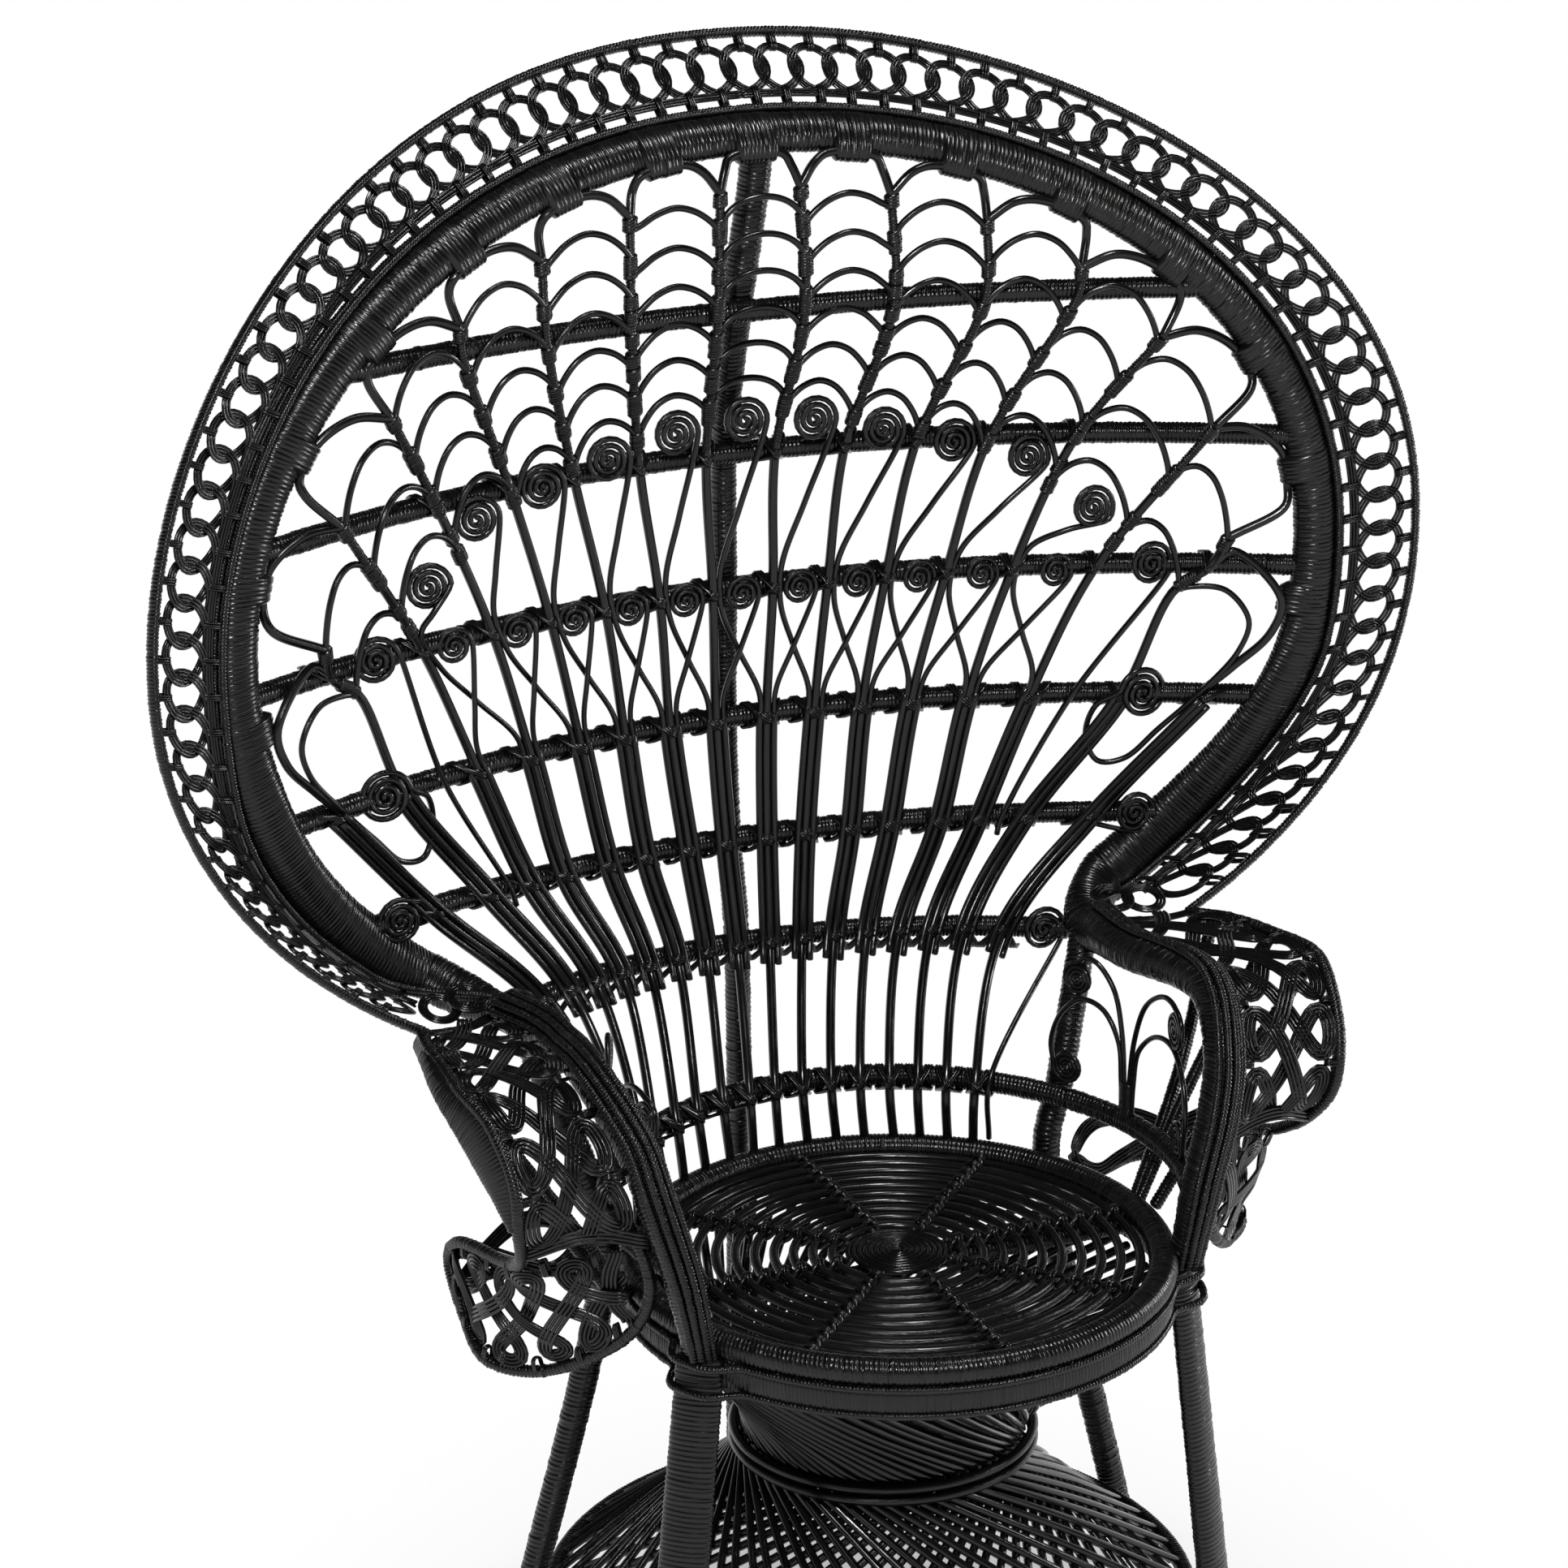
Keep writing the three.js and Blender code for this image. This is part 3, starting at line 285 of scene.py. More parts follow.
    def done(self, material, slot, *nodes):
        """Makes the object, which rides on the one body and stands for the nodes."""
        places = (np.vstack(self.places) + at(0, SEAT_AXIS_Y, 0)) / 1000
        places[:, 2] = np.maximum(places[:, 2], 0)
        faces = np.vstack(self.faces)
        mesh = bpy.data.meshes.new(self.name)
        mesh.vertices.add(len(places))
        mesh.vertices.foreach_set("co", places.ravel())
        mesh.loops.add(faces.size)
        mesh.loops.foreach_set("vertex_index", faces.ravel())
        mesh.polygons.add(len(faces))
        mesh.polygons.foreach_set("loop_start", np.arange(0, faces.size, 4))
        mesh.polygons.foreach_set("use_smooth", np.ones(len(faces), bool))
        lay = mesh.attributes.new("lay", "FLOAT_VECTOR", "POINT")
        lay.data.foreach_set("vector", np.vstack(self.lay).ravel())
        mesh.update(calc_edges=True)
        mesh.validate()
        mesh.materials.append(material)
        piece = bpy.data.objects.new(self.name, mesh)
        bpy.context.scene.collection.objects.link(piece)
        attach(piece, "root")
        if nodes:
            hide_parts(*nodes)


def rod(node, path, size, slot="wrapped", **winding):
    """A piece that is one wound rod and stands for one node."""
    weave = Weave(f"{node}_winding")
    weave.wound(path, size, **winding)
    weave.done(WOUND, slot, node)


# Materials
# Lacquer from its darkest to its lightest: place on the ramp and colour
LACQUER = ((0.2, (0.0012, 0.0011, 0.0011, 1)), (0.85, (0.0065, 0.0059, 0.0055, 1)))
LACQUER_SPECULAR = 0.36
GRAIN_SHARE = 0.5
GRAIN_DEPTH = 0.0006


def feed(tree, socket, value):
    """Sets a node's input, or links it where the value is another node's output."""
    if isinstance(value, bpy.types.NodeSocket):
        tree.links.new(value, socket)
    else:
        socket.default_value = value


def node(tree, kind, inputs, operation=None):
    """Adds a node whose inputs, by name or number, are set or linked."""
    made = tree.nodes.new(f"ShaderNode{kind}")
    if operation:
        made.operation = operation
    for key, value in inputs.items():
        feed(tree, made.inputs[key], value)
    return made


def lacquer(name, stretch, rough, bump):
    """Black lacquer over cane: streaks run the way the cane lies, and no two canes are quite alike."""
    material = bpy.data.materials.new(name)
    material.use_nodes = True
    tree = material.node_tree
    lay = tree.nodes.new("ShaderNodeAttribute")
    lay.attribute_name = "lay"
    lay = lay.outputs["Vector"]
    stretched = node(tree, "VectorMath", {0: lay, 1: stretch}, "MULTIPLY").outputs["Vector"]
    grain = node(tree, "TexNoise", {"Vector": stretched, "Scale": 1.0, "Detail": 4.0}).outputs["Fac"]
    own = node(tree, "SeparateXYZ", {0: lay}).outputs["Z"]
    half = node(tree, "Math", {0: grain, 1: GRAIN_SHARE}, "MULTIPLY").outputs[0]
    mixed = node(tree, "Math", {0: own, 1: 1 - GRAIN_SHARE, 2: half}, "MULTIPLY_ADD").outputs[0]
    colour = node(tree, "ValToRGB", {"Fac": mixed})
    for element, (place, shade) in zip(colour.color_ramp.elements, LACQUER):
        element.position, element.color = place, shade
    sheen = node(tree, "MapRange", {
        "Value": grain, "From Min": 0.25, "From Max": 0.75, "To Min": rough[0], "To Max": rough[1],
    })
    height = node(tree, "Bump", {"Strength": bump, "Distance": GRAIN_DEPTH, "Height": grain})
    shader = tree.nodes["Principled BSDF"]
    feed(tree, shader.inputs["Base Color"], colour.outputs["Color"])
    feed(tree, shader.inputs["Roughness"], sheen.outputs["Result"])
    feed(tree, shader.inputs["Normal"], height.outputs["Normal"])
    shader.inputs["Specular IOR Level"].default_value = LACQUER_SPECULAR
    return material


CANE = lacquer("lacquered_cane", (0.02, 9.0, 37.0), (0.12, 0.3), 0.5)
WOUND = lacquer("wound_cane", (0.5, 3.0, 37.0), (0.13, 0.32), 0.4)

# The fan: a hoop and an outer rim, both rounded ovals that lean back towards the top
OVAL_POWER = 2.1
HOOP = dict(wide=506, high=391, low=402, z=955, back=209, lean=116, lean_from=900, power=3.5, tuck=60)
RIM = dict(wide=588, high=453, low=420, z=968, back=172, lean=223, lean_from=950, power=2.8, tuck=0)
# How far below level both end, in degrees, and the heights over which the hoop tucks back
HOOP_END, RIM_END = 50, 52.5
TUCK_FROM, TUCK_OVER = 880, 240
LOW_OVER, LOW_TURN = 20, at(0, 0.75, 0)
FAN_STEP = 0.5
HOOP_FACE, HOOP_THICK, RIM_FACE, RIM_THICK = 20.0, 13.0, 4.2, 6.2
HOOP_SWELL = 3.0
HOOP_WINDING = dict(pitch=4.0, sides=18, groove=0.95)
THIN_WINDING = dict(pitch=3.2, sides=8)
# Welts on the hoop's edge: how far out and to the front, and the corner where both end
HOOP_WELTS, HOOP_WELT, WELT_CORNER = ((21.5, 6.0), (23.0, -2.0)), 3.9, at(291, 212, 637)
# The bend from the hoop into the arm
WAIST_BEND, ARM_START = (283, 208, 622), ((274, 150, 629), (269, 104, 633))
ARM_RADIUS = 17.0
# Along the bend the hoop's face turns up to the arm's crest: places, half widths and half thicknesses
BEND_STAGES, ARM_CREST = (0, 0.3, 0.6, 1), at(0.5, 0, 0.87)
BEND_FACES, BEND_THICKS = (22.5, 21.0, ARM_RADIUS + 0.4), (14.0, 16.0, ARM_RADIUS + 0.4)


def oval_at(oval, angle):
    turn = np.radians(np.asarray(angle, float))
    c, s = np.cos(turn), np.sin(turn)
    x = oval["wide"] * np.sign(c) * np.abs(c) ** (2 / OVAL_POWER)
    height = np.where(s < 0, oval["low"], oval["high"])
    z = oval["z"] + height * np.sign(s) * np.abs(s) ** (2 / OVAL_POWER)
    top = oval["z"] + oval["high"]
    rise = np.maximum(0, (z - oval["lean_from"]) / (top - oval["lean_from"]))
    tuck = oval["tuck"] * ease((TUCK_FROM - z) / TUCK_OVER)
    return np.stack([x, oval["back"] + oval["lean"] * rise ** oval["power"] + tuck, z], -1)


def oval_along(oval, angle):
    return unit(oval_at(oval, np.asarray(angle) + 0.5) - oval_at(oval, np.asarray(angle) - 0.5))


def below(angle):
    """0 for the upper half of the fan, rising to 1 where the hoop tucks in."""
    angle = np.asarray(angle, float)
    return ease(np.maximum(-angle, angle - 180.0) / LOW_OVER)[..., None]


def outward(angle, oval=HOOP):
    """The way across the border, square to the hoop or the rim; low down it turns less to the front."""
    across = oval_at(RIM, angle) - oval_at(HOOP, angle)
    return flat(across - LOW_TURN * across * below(angle), oval_along(oval, angle))


def hoop_front(angle):
    """The way that the hoop's face looks."""
    front = np.cross(oval_along(HOOP, angle), outward(angle))
    return front * np.sign(-front[..., 1:2])


def beside_hoop(angle, out, front):
    out = out + math.copysign(HOOP_SWELL, out) * below(angle)
    return oval_at(HOOP, angle) + outward(angle) * out + hoop_front(angle) * front


def into_arm():
    """The hoop's run on the right from its end round the bend and into the arm."""
    start = oval_at(HOOP, [8 - HOOP_END, -HOOP_END])
    path = smooth(np.vstack([start, WAIST_BEND, ARM_START]), 3.0)
    return path[np.argmin(np.linalg.norm(path - start[1], axis=1)) + 1:]


def fan():
    angle = np.arange(-HOOP_END, 180 + HOOP_END + 0.01, FAN_STEP)
    way, bend = outward(angle), into_arm()
    share = np.linspace(0, 1, len(bend))
    turning = unit(spaced(np.array([way[0], RIGHT, ARM_CREST, ARM_CREST]), share, BEND_STAGES))
    path = np.vstack([bend[::-1], oval_at(HOOP, angle), mirror(bend, -1)])
    way = np.vstack([turning[::-1], way, mirror(turning, -1)])
    face = HOOP_FACE + HOOP_SWELL * below(angle)[:, 0]
    narrow = np.interp(share, BEND_STAGES, (face[0], *BEND_FACES))
    thick = np.interp(share, BEND_STAGES, (HOOP_THICK, *BEND_THICKS))
    wide = np.concatenate([narrow[::-1], face, narrow])
    deep = np.concatenate([thick[::-1], 0 * angle + HOOP_THICK, thick])
    rod("back_hoop", path, (wide, deep), guide=way, **HOOP_WINDING)
    weave = Weave("hoop_welts")
    for out, front in HOOP_WELTS:
        run = beside_hoop(angle, out, front)
        corner = WELT_CORNER - UP * (HOOP_WELTS[0][1] - front) * 0.5
        path = smooth(np.vstack([corner, run[::12], mirror(corner, -1)]), 3.0)
        weave.wound(path, HOOP_WELT, 2.9, 8)
    weave.done(WOUND, "wrapped")
    angle = np.arange(-RIM_END, 180 + RIM_END + 0.01, FAN_STEP)
    rod("outer_rim", oval_at(RIM, angle), (RIM_FACE, RIM_THICK), guide=outward(angle, RIM), **THIN_WINDING)


# Chain border: one strand of canes that loops its way along between the hoop and the rim, and a straight band
# that the loops are tied to. Places across the border run from 0 at the hoop to 1 at the rim
LINK_PITCH, LINK_SWING, LINK_STEPS = 31.0, 0.86, 30
LINK_CANES, LINK_CANE = 3, 1.42
LINK_MIDDLE, LINK_REACH, LINK_SHRINK, LINK_LIFT = 0.505, 0.34, 0.03, 2.0
BAND_PLACE, BAND_LIFT = 0.145, -2.0
OUTER_TIE, INNER_TIE = (0.81, 1.02), (-0.04, 0.23)
OUTER_TIE_HALF, INNER_TIE_HALF = 4.2, 4.6
BORDER_NODES = {"right": (4, 5, 6), "left": (1, 2, 3)}


def border():
    angle = np.arange(-RIM_END + 1.0, 180 + RIM_END - 0.99, 0.25)
    inner = beside_hoop(angle, HOOP_FACE + 6.0, 3.0)
    strip = Strip(inner, oval_at(RIM, angle) - outward(angle, RIM) * RIM_FACE)
    links = round(strip.length / LINK_PITCH) - 1
    pitch = strip.length / (links + 1)
    half = links // 2
    for name, first, last in (("right", 0, half), ("left", half, links)):
        weave = Weave(f"chain_border_{name}")
        ties = Weave(f"chain_border_ties_{name}")
        t = np.linspace(-np.pi, np.pi, LINK_STEPS, endpoint=False)
        t = (t + TURN * np.arange(first, last)[:, None]).ravel()
        t = np.append(t, t[-1] + t[1] - t[0])
        s = pitch * (t / TURN + 1) - LINK_SWING * pitch * np.sin(t)
        shrink = LINK_SHRINK * np.interp(s, strip.reach, below(angle)[:, 0])
        v = LINK_MIDDLE + (LINK_REACH - shrink) * np.cos(t)
        path, normal = strip.lifted(s, v, LINK_LIFT * np.sin(2 * t)), strip.normal(s, v)
        weave.strand(path, np.cross(tangents(path), normal), LINK_CANES, LINK_CANE, 5, normal)
        s = np.arange(pitch * (first + 0.5), pitch * (last + 0.5), pitch / 8)
        across = unit(strip.across(s))
        band = strip.lifted(s, np.full_like(s, BAND_PLACE), np.full_like(s, BAND_LIFT))
        weave.strand(band, across, LINK_CANES, LINK_CANE, 5, across)
        weave.done(CANE, "cane", *[f"chain_border_{i}" for i in BORDER_NODES[name]])
        for k in range(first, last):
            s = pitch * (k + 1) + rng.normal(0, 0.6)
            shrink = LINK_SHRINK * np.interp(s, strip.reach, below(angle)[:, 0])
            strip.tie(ties, s, OUTER_TIE[0] - shrink, OUTER_TIE[1], OUTER_TIE_HALF)
            strip.tie(ties, s, INNER_TIE[0], INNER_TIE[1] + shrink, INNER_TIE_HALF)
        ties.done(CANE, "cane")


# Rails of the back, top to bottom: height, depth at the middle, bow, and where the ribs cross
RAIL_RADIUS = 10.0
RAIL_WINDING = dict(pitch=3.9, guide=UP, groove=0.9)
RIB_RADIUS = 4.4
RAILS = (
    dict(name="rail_1", z=1194, back=312, bow=0.00047, ribs=(41, 123, 205, 287)),
    dict(name="rail_2", z=1055, back=360, bow=0.00062, ribs=(33, 98, 163, 227, 302)),
    dict(name="rail_3", z=932, back=356, bow=0.00057, ribs=(29, 81, 135, 190, 249, 321, 416)),
    dict(name="rail_4", z=809, back=361, bow=0.00062, ribs=(24.4, 70, 115, 160, 211, 266, 345, 416)),
    dict(name="rail_5", z=696, back=350, bow=0.0006, ribs=(20, 57, 100, 137, 182, 218, 260, 318)),
    dict(name="rail_6", z=601, back=334, bow=0.0011, ribs=(16, 47, 77, 107, 136, 164, 192, 224)),
)
ARM_RAIL_Z, ARM_RAIL_REACH, ARM_RAIL_END = 492, 250, 22
# Under the lowest rail the ribs of both sides lean to the sitter's right: places on the right and the left
ARM_RAIL_RIBS = {1: (-16, 11, 38, 64, 89, 112, 134, 155), -1: (42, 71, 100, 126, 154, 172, 187, 198)}
SEAT_RIBS = {1: (-13, 15, 42, 67, 92, 113, 134, 152), -1: (40, 64, 92, 119, 142, 162, 178, 190)}
SEAT_Z, SEAT_REACH, SEAT_ROLL = 443, 228, 13


def rail_depth(rail, x):
    return rail["back"] - rail["bow"] * x * x


def rails():
    for rail in RAILS:
        reach = HOOP["wide"] * math.sqrt(1 - ((rail["z"] - HOOP["z"]) / HOOP["high"]) ** 2)
        reach = max(reach, WAIST_BEND[0])
        x = np.linspace(-reach, reach, 160)
        path = np.stack([x, rail_depth(rail, x), np.full_like(x, rail["z"])], -1)
        rod(rail["name"], path, RAIL_RADIUS, **RAIL_WINDING)
    turn = np.radians(np.linspace(-ARM_RAIL_END, 180 + ARM_RAIL_END, 200))
    rod("arm_rail", level(ARM_RAIL_REACH, turn, ARM_RAIL_Z), RAIL_RADIUS, **RAIL_WINDING)


# Ribs: eight each side, of which all but the last fork under the hoop, and six are wound above the scrolls
RIB_COUNT, FORKED, WOUND_RIBS = 8, 7, 6
LOOP_KNOT = (388, 255, 910)
FORK_FIRST, FORK_STEP, FORK_GROW = 4.2, 9.9, 0.7
FORK_SHARE, FORK_SHARE_STEP = 0.89, 0.008
FORK_BACK, FORK_BACK_STEP = -26, 7
BEFORE_RAIL = RAIL_RADIUS + RIB_RADIUS
RIB_WINDING = dict(pitch=2.8, sides=9, groove=0.6)
# Canes on both sides of a rib between the fourth and the sixth rail
FLANK, FLANK_FRONT, FLANK_RADIUS = 7.2, at(0, -1.2, 0), 3.2
BINDING = dict(pitch=2.6, sides=10, guide=RIGHT, groove=0.7, lean=0.25)
BINDING_HALF, BINDING_WIDE, BINDING_DEEP = 6, 7.0, 5.8
# Arches in each bay, from the middle outwards
ARCHES = (6, 6, 6, 5, 4, 3, 2)
ARCH_RADIUS, TOP_ARCH_RADIUS, ARCH_FRONT = 3.0, 4.2, at(0, -1.5, 0)
# An arch across a bay: share of the width, rise as a share of the width, and share of the drop
ARCH = (
    (0, 0, 0), (0.1, 0.12, 0), (0.28, 0.245, 0), (0.5, 0.3, 0.03), (0.72, 0.235, 0.13), (0.88, 0.12, 0.36),
    (0.97, 0.04, 0.7), (1, 0, 1),
)
EVEN_ARCH_RISE = 0.36
# Large scrolls under the arches, from the middle outwards: place across, and height
SCROLLS = ((0, 1090), (66, 1085), (131, 1069), (196, 1054), (262, 1037), (316, 990), (369, 935))
# A band of winding round the hoop holds each top arch: half its length in degrees, and where the last one is
BAND_HALF, LAST_BAND = 1.7, -7


def fork_angle(rib):
    return 90 - FORK_FIRST - FORK_STEP * rib - FORK_GROW * rib * rib


def fork_at(rib):
    on, share = oval_at(HOOP, fork_angle(rib)), FORK_SHARE - FORK_SHARE_STEP * rib
    back = on[1] + FORK_BACK + FORK_BACK_STEP * rib
    return at(on[0] * share, back, HOOP["z"] + (on[2] - HOOP["z"]) * share)


def rib_knots(rib, side):
    """Where a rib crosses the seat ring and each rail, up to its fork; a left rib is mirrored to the right."""
    inside = ARM_RAIL_REACH - BEFORE_RAIL - 3
    seat, low = SEAT_RIBS[side][rib], ARM_RAIL_RIBS[side][rib]
    points = [at(seat, math.sqrt(SEAT_REACH ** 2 - seat ** 2), SEAT_Z - SEAT_ROLL)]
    points.append(at(low, math.sqrt(inside ** 2 - low ** 2), ARM_RAIL_Z))
    for rail in reversed(RAILS):
        if rib < len(rail["ribs"]):
            x = rail["ribs"][rib]
            lean = math.hypot(1, 2 * rail["bow"] * x)
            points.append(at(x, rail_depth(rail, x) - BEFORE_RAIL * lean, rail["z"]))
            if rib == FORKED - 1 and rail is RAILS[3]:
                points.append(at(*LOOP_KNOT))
    if rib < FORKED:
        points.append(fork_at(rib))
    return np.array(points)


# The two sides differ only under the lowest rail; the forks and arches are worked out on the right
SIDE_RIBS = {side: [smooth(rib_knots(rib, side), 3.0) for rib in range(RIB_COUNT)] for side in (1, -1)}
RIBS = SIDE_RIBS[1]


def rib_at(rib, z):
    """A point of a rib at a height; a negative rib is one on the left, -1 being the first."""
    path = RIBS[rib] if rib >= 0 else mirror(SIDE_RIBS[-1][-1 - rib], -1)
    return np.array([np.interp(z, path[:, 2], path[:, k]) for k in range(3)])


def arch_points(start, end):
    """An arch that leaves the inner rib almost level and drops onto the outer one."""
    across = (end - start) * at(1, 1, 0)
    width, drop = np.linalg.norm(across), start[2] - end[2]
    return np.array([start + across * u + UP * (width * rise - drop * fall) for u, rise, fall in ARCH])


def even_arch(start, end):
    rise = UP * EVEN_ARCH_RISE * np.linalg.norm(end - start)
    return coil((start + end) / 2, (start - end) / 2, rise, 1, np.linspace(0, np.pi, 9))


def arch_heights(bay):
    """Heights of a bay's arches on the inner rib and on the outer one, lowest first."""
    count, scroll = ARCHES[bay], SCROLLS[bay][1]
    i = np.arange(count)
    inner, outer = scroll + 14 + 2 * bay, scroll - 3.5 * bay + 14 * (bay == 0)
    fork, next_fork = RIBS[max(bay - 1, 0)][-1][2], RIBS[bay][-1][2]
    last = count if bay == 0 else (count - 1) / 0.95
    return inner + (fork - inner) * i / count, outer + (next_fork - outer) * i / last


def band_angle(bay):
    return (fork_angle(bay) + fork_angle(bay - 1)) / 2 if bay else 90


def top_arch(bay):
    """The thicker arch from fork to fork that is bound to the hoop on its way."""
    start, end = RIBS[bay - 1][-1] if bay else mirror(RIBS[0][-1], -1), RIBS[bay][-1]
    angle = band_angle(bay)
    touch = beside_hoop(np.array([angle + 2.5, angle - 2.5]), -HOOP_FACE - 3.0, 2.0)
    rise = (start + touch[0]) / 2 + UP * 0.15 * np.linalg.norm(touch[0] - start)
    away = outward(angle) * (0.14 + 0.035 * bay) * np.linalg.norm(end - touch[1])
    fall = (touch[1] + end) / 2 + (away if bay else UP * 0.1 * np.linalg.norm(touch[1] - end))
    return np.vstack([start, rise, touch, fall, end])


def stave(name, side, rib):
    """A rib with its flanking canes, the arches of its bay, and the bindings that hold them."""
    weave, bound = Weave(f"stave_{name}_{rib + 1}_canes"), Weave(f"stave_{name}_{rib + 1}_bindings")
    path = mirror(SIDE_RIBS[side][rib], side)
    height = path[:, 2]
    bare = path
    if rib < WOUND_RIBS:
        wound_from = min(RAILS[1]["z"], SCROLLS[rib][1]) + 4
        bound.wound(path[height > wound_from], RIB_RADIUS - 0.2, **RIB_WINDING)
        bare = path[height < wound_from + 14]
    weave.sweep(bare[::3], RIB_RADIUS, 9)
    bundle = path[(height < RAILS[3]["z"] + 8) & (height > RAILS[5]["z"] - 17)][::3]
    for hand in (-1, 1):
        beside = flat(RIGHT * hand, tangents(bundle)) * FLANK + FLANK_FRONT
        weave.sweep(bundle + beside, FLANK_RADIUS, 8)
    if rib < FORKED and (rib or side > 0):
        for high, low in zip(*arch_heights(rib)):
            start, end = rib_at(rib - 1, high), rib_at(rib, low)
            points = arch_points(start, end) if rib else even_arch(start, end)
            weave.cane(mirror(points + ARCH_FRONT, side), ARCH_RADIUS, 4.0, 7)
        weave.cane(mirror(top_arch(rib), side), TOP_ARCH_RADIUS, 4.0, 8)
    weave.done(CANE, "cane", f"stave_{name}_{rib + 1}")
    if rib < FORKED:
        spots = [z + 5 for z in arch_heights(rib)[1]] + [RIBS[rib][-1][2] - 5]
        if rib + 1 < FORKED:
            spots += [z - 4 for z in arch_heights(rib + 1)[0]]
        for z in spots:
            spot = np.array([rib_at(rib, z + d) for d in (-BINDING_HALF, 0, BINDING_HALF)])
            wide = BINDING_WIDE + rng.normal(0, 0.3)
            bound.wound(smooth(mirror(spot, side), 3.0), (wide, BINDING_DEEP), **BINDING)
        bound.done(WOUND, "cane")


def back():
    for name, side in SIDES:
        for rib in range(RIB_COUNT):
            stave(name, side, rib)
    weave = Weave("arch_bands")
    for angle in [band_angle(bay) for bay in range(FORKED)] + [LAST_BAND]:
        for middle in {angle, 180 - angle}:
            run = np.linspace(middle - BAND_HALF, middle + BAND_HALF, 12)
            path = beside_hoop(run, -4.0, 0.4)
            weave.wound(path, (HOOP_FACE + 5.0, HOOP_THICK + 0.6), guide=outward(run), **HOOP_WINDING)
    weave.done(WOUND, "wrapped")


# Scrolls: radius, turns and cane
LARGE_SCROLL, SMALL_SCROLL = (23.5, 3.3, 2.75), (19.0, 2.7, 2.5)
SMALL_SCROLLS = (0, 55, 110, 166, 223, 288)
BESIDE_RIB = at(7.6, -1.0, 0)
# Feet of the outermost large scrolls on the fourth and fifth rail
LAST_SCROLL_FEET = (302, 239)
# Scrolls on the fifth and sixth rail, and the foot of the latter's stem
SIDE_SCROLLS, SIDE_SCROLL_CANE = ((356, RAILS[4], 23), (258, RAILS[5], 24)), 2.6
STEM_FOOT = (166, 166)
# Loops beside the hoop between the third and fifth rail; the inner one ends in a scroll
OUTER_LOOP = ((474, 210, 904), (466, 214, 871), (436, 231, 837), (412, 243, 811))
INNER_LOOP = (
    LOOP_KNOT, (402, 248, 914), (430, 234, 911), (449, 224, 883), (442, 228, 854), (412, 240, 816),
    (377, 258, 778), (349, 270, 750), (326, 279, 748), (316, 284, 773), (322, 276, 803),
)
LOOP_SCROLL, LOOP_CANE = (364, 812, 24), 2.8
# A lashing's thin cane, and how much further it reaches round a bundle of three
LASH_CANE, LASH_PITCH, BUNDLE_LASH = 1.55, 2.6, 6.0


def lash(weave, spot, rib_way, rail_way, width=0.0):
    """Two crossed turns of thin cane that hold a rib to the front of a rail."""
    front = unit(np.cross(rail_way, rib_way))
    front = front * np.sign(-front[1])
    reach, behind = RIB_RADIUS + 4.5 + width, RIB_RADIUS + RAIL_RADIUS
    for hand in (-1, 1):
        for k in (-1, 0, 1):
            over = spot + front * (RIB_RADIUS + 1.2 + 0.8 * (hand > 0)) + rib_way * k * LASH_PITCH
            ends = []
            for end in (-1, 1):
                aside = spot + rail_way * (reach * end + k * hand * LASH_PITCH)
                rise = rib_way * -end * hand
                inwards = aside - rail_way * reach * end * 0.3
                ends.append((
                    aside + rise * RAIL_RADIUS * 0.5 - front * (behind + RAIL_RADIUS),
                    aside + rise * (RAIL_RADIUS + 1.4) - front * behind,
                    inwards + rise * RAIL_RADIUS * 0.75 - front * behind * 0.35,
                ))
            weave.cane([*ends[0], over, *ends[1][::-1]], LASH_CANE, 3.0, 5)


def stem_start(centre, radius, foot):
    return centre * 0.45 + foot * 0.55 + at(radius * 0.3, -4, 0)


def bay_scrolls(large, small, bay):
    """The large scroll of a bay and the small one below it, with stems that run down beside the ribs."""
    r3, r4 = RAILS[2], RAILS[3]
    left, right = bay - 1, bay
    x, z = SCROLLS[abs(bay)]
    centre = at(math.copysign(x, bay), (rib_at(left, z)[1] + rib_at(right, z)[1]) / 2 - 1, z)
    foot = rib_at(left, r3["z"] + 20) + BESIDE_RIB
    stem = [stem_start(centre, LARGE_SCROLL[0], foot), foot, rib_at(left, r3["z"] - 16) + BESIDE_RIB]
    end, last = (rib_at(right, r4["z"] + rise) + mirror(BESIDE_RIB, -1) for rise in (22, -14))
    large.scroll(centre, *LARGE_SCROLL, stem + [(stem[-1] + end) / 2 + at(0, 2.5, 0), end, last])
    x = math.copysign(SMALL_SCROLLS[abs(bay)], bay)
    centre = at(x, rail_depth(r3, x) - RAIL_RADIUS - 3, r3["z"] - 3)
    foot, last = (rib_at(left, r4["z"] + rise) + BESIDE_RIB for rise in (24, -14))
    small.scroll(centre, *SMALL_SCROLL, [stem_start(centre, SMALL_SCROLL[0], foot), foot, last])


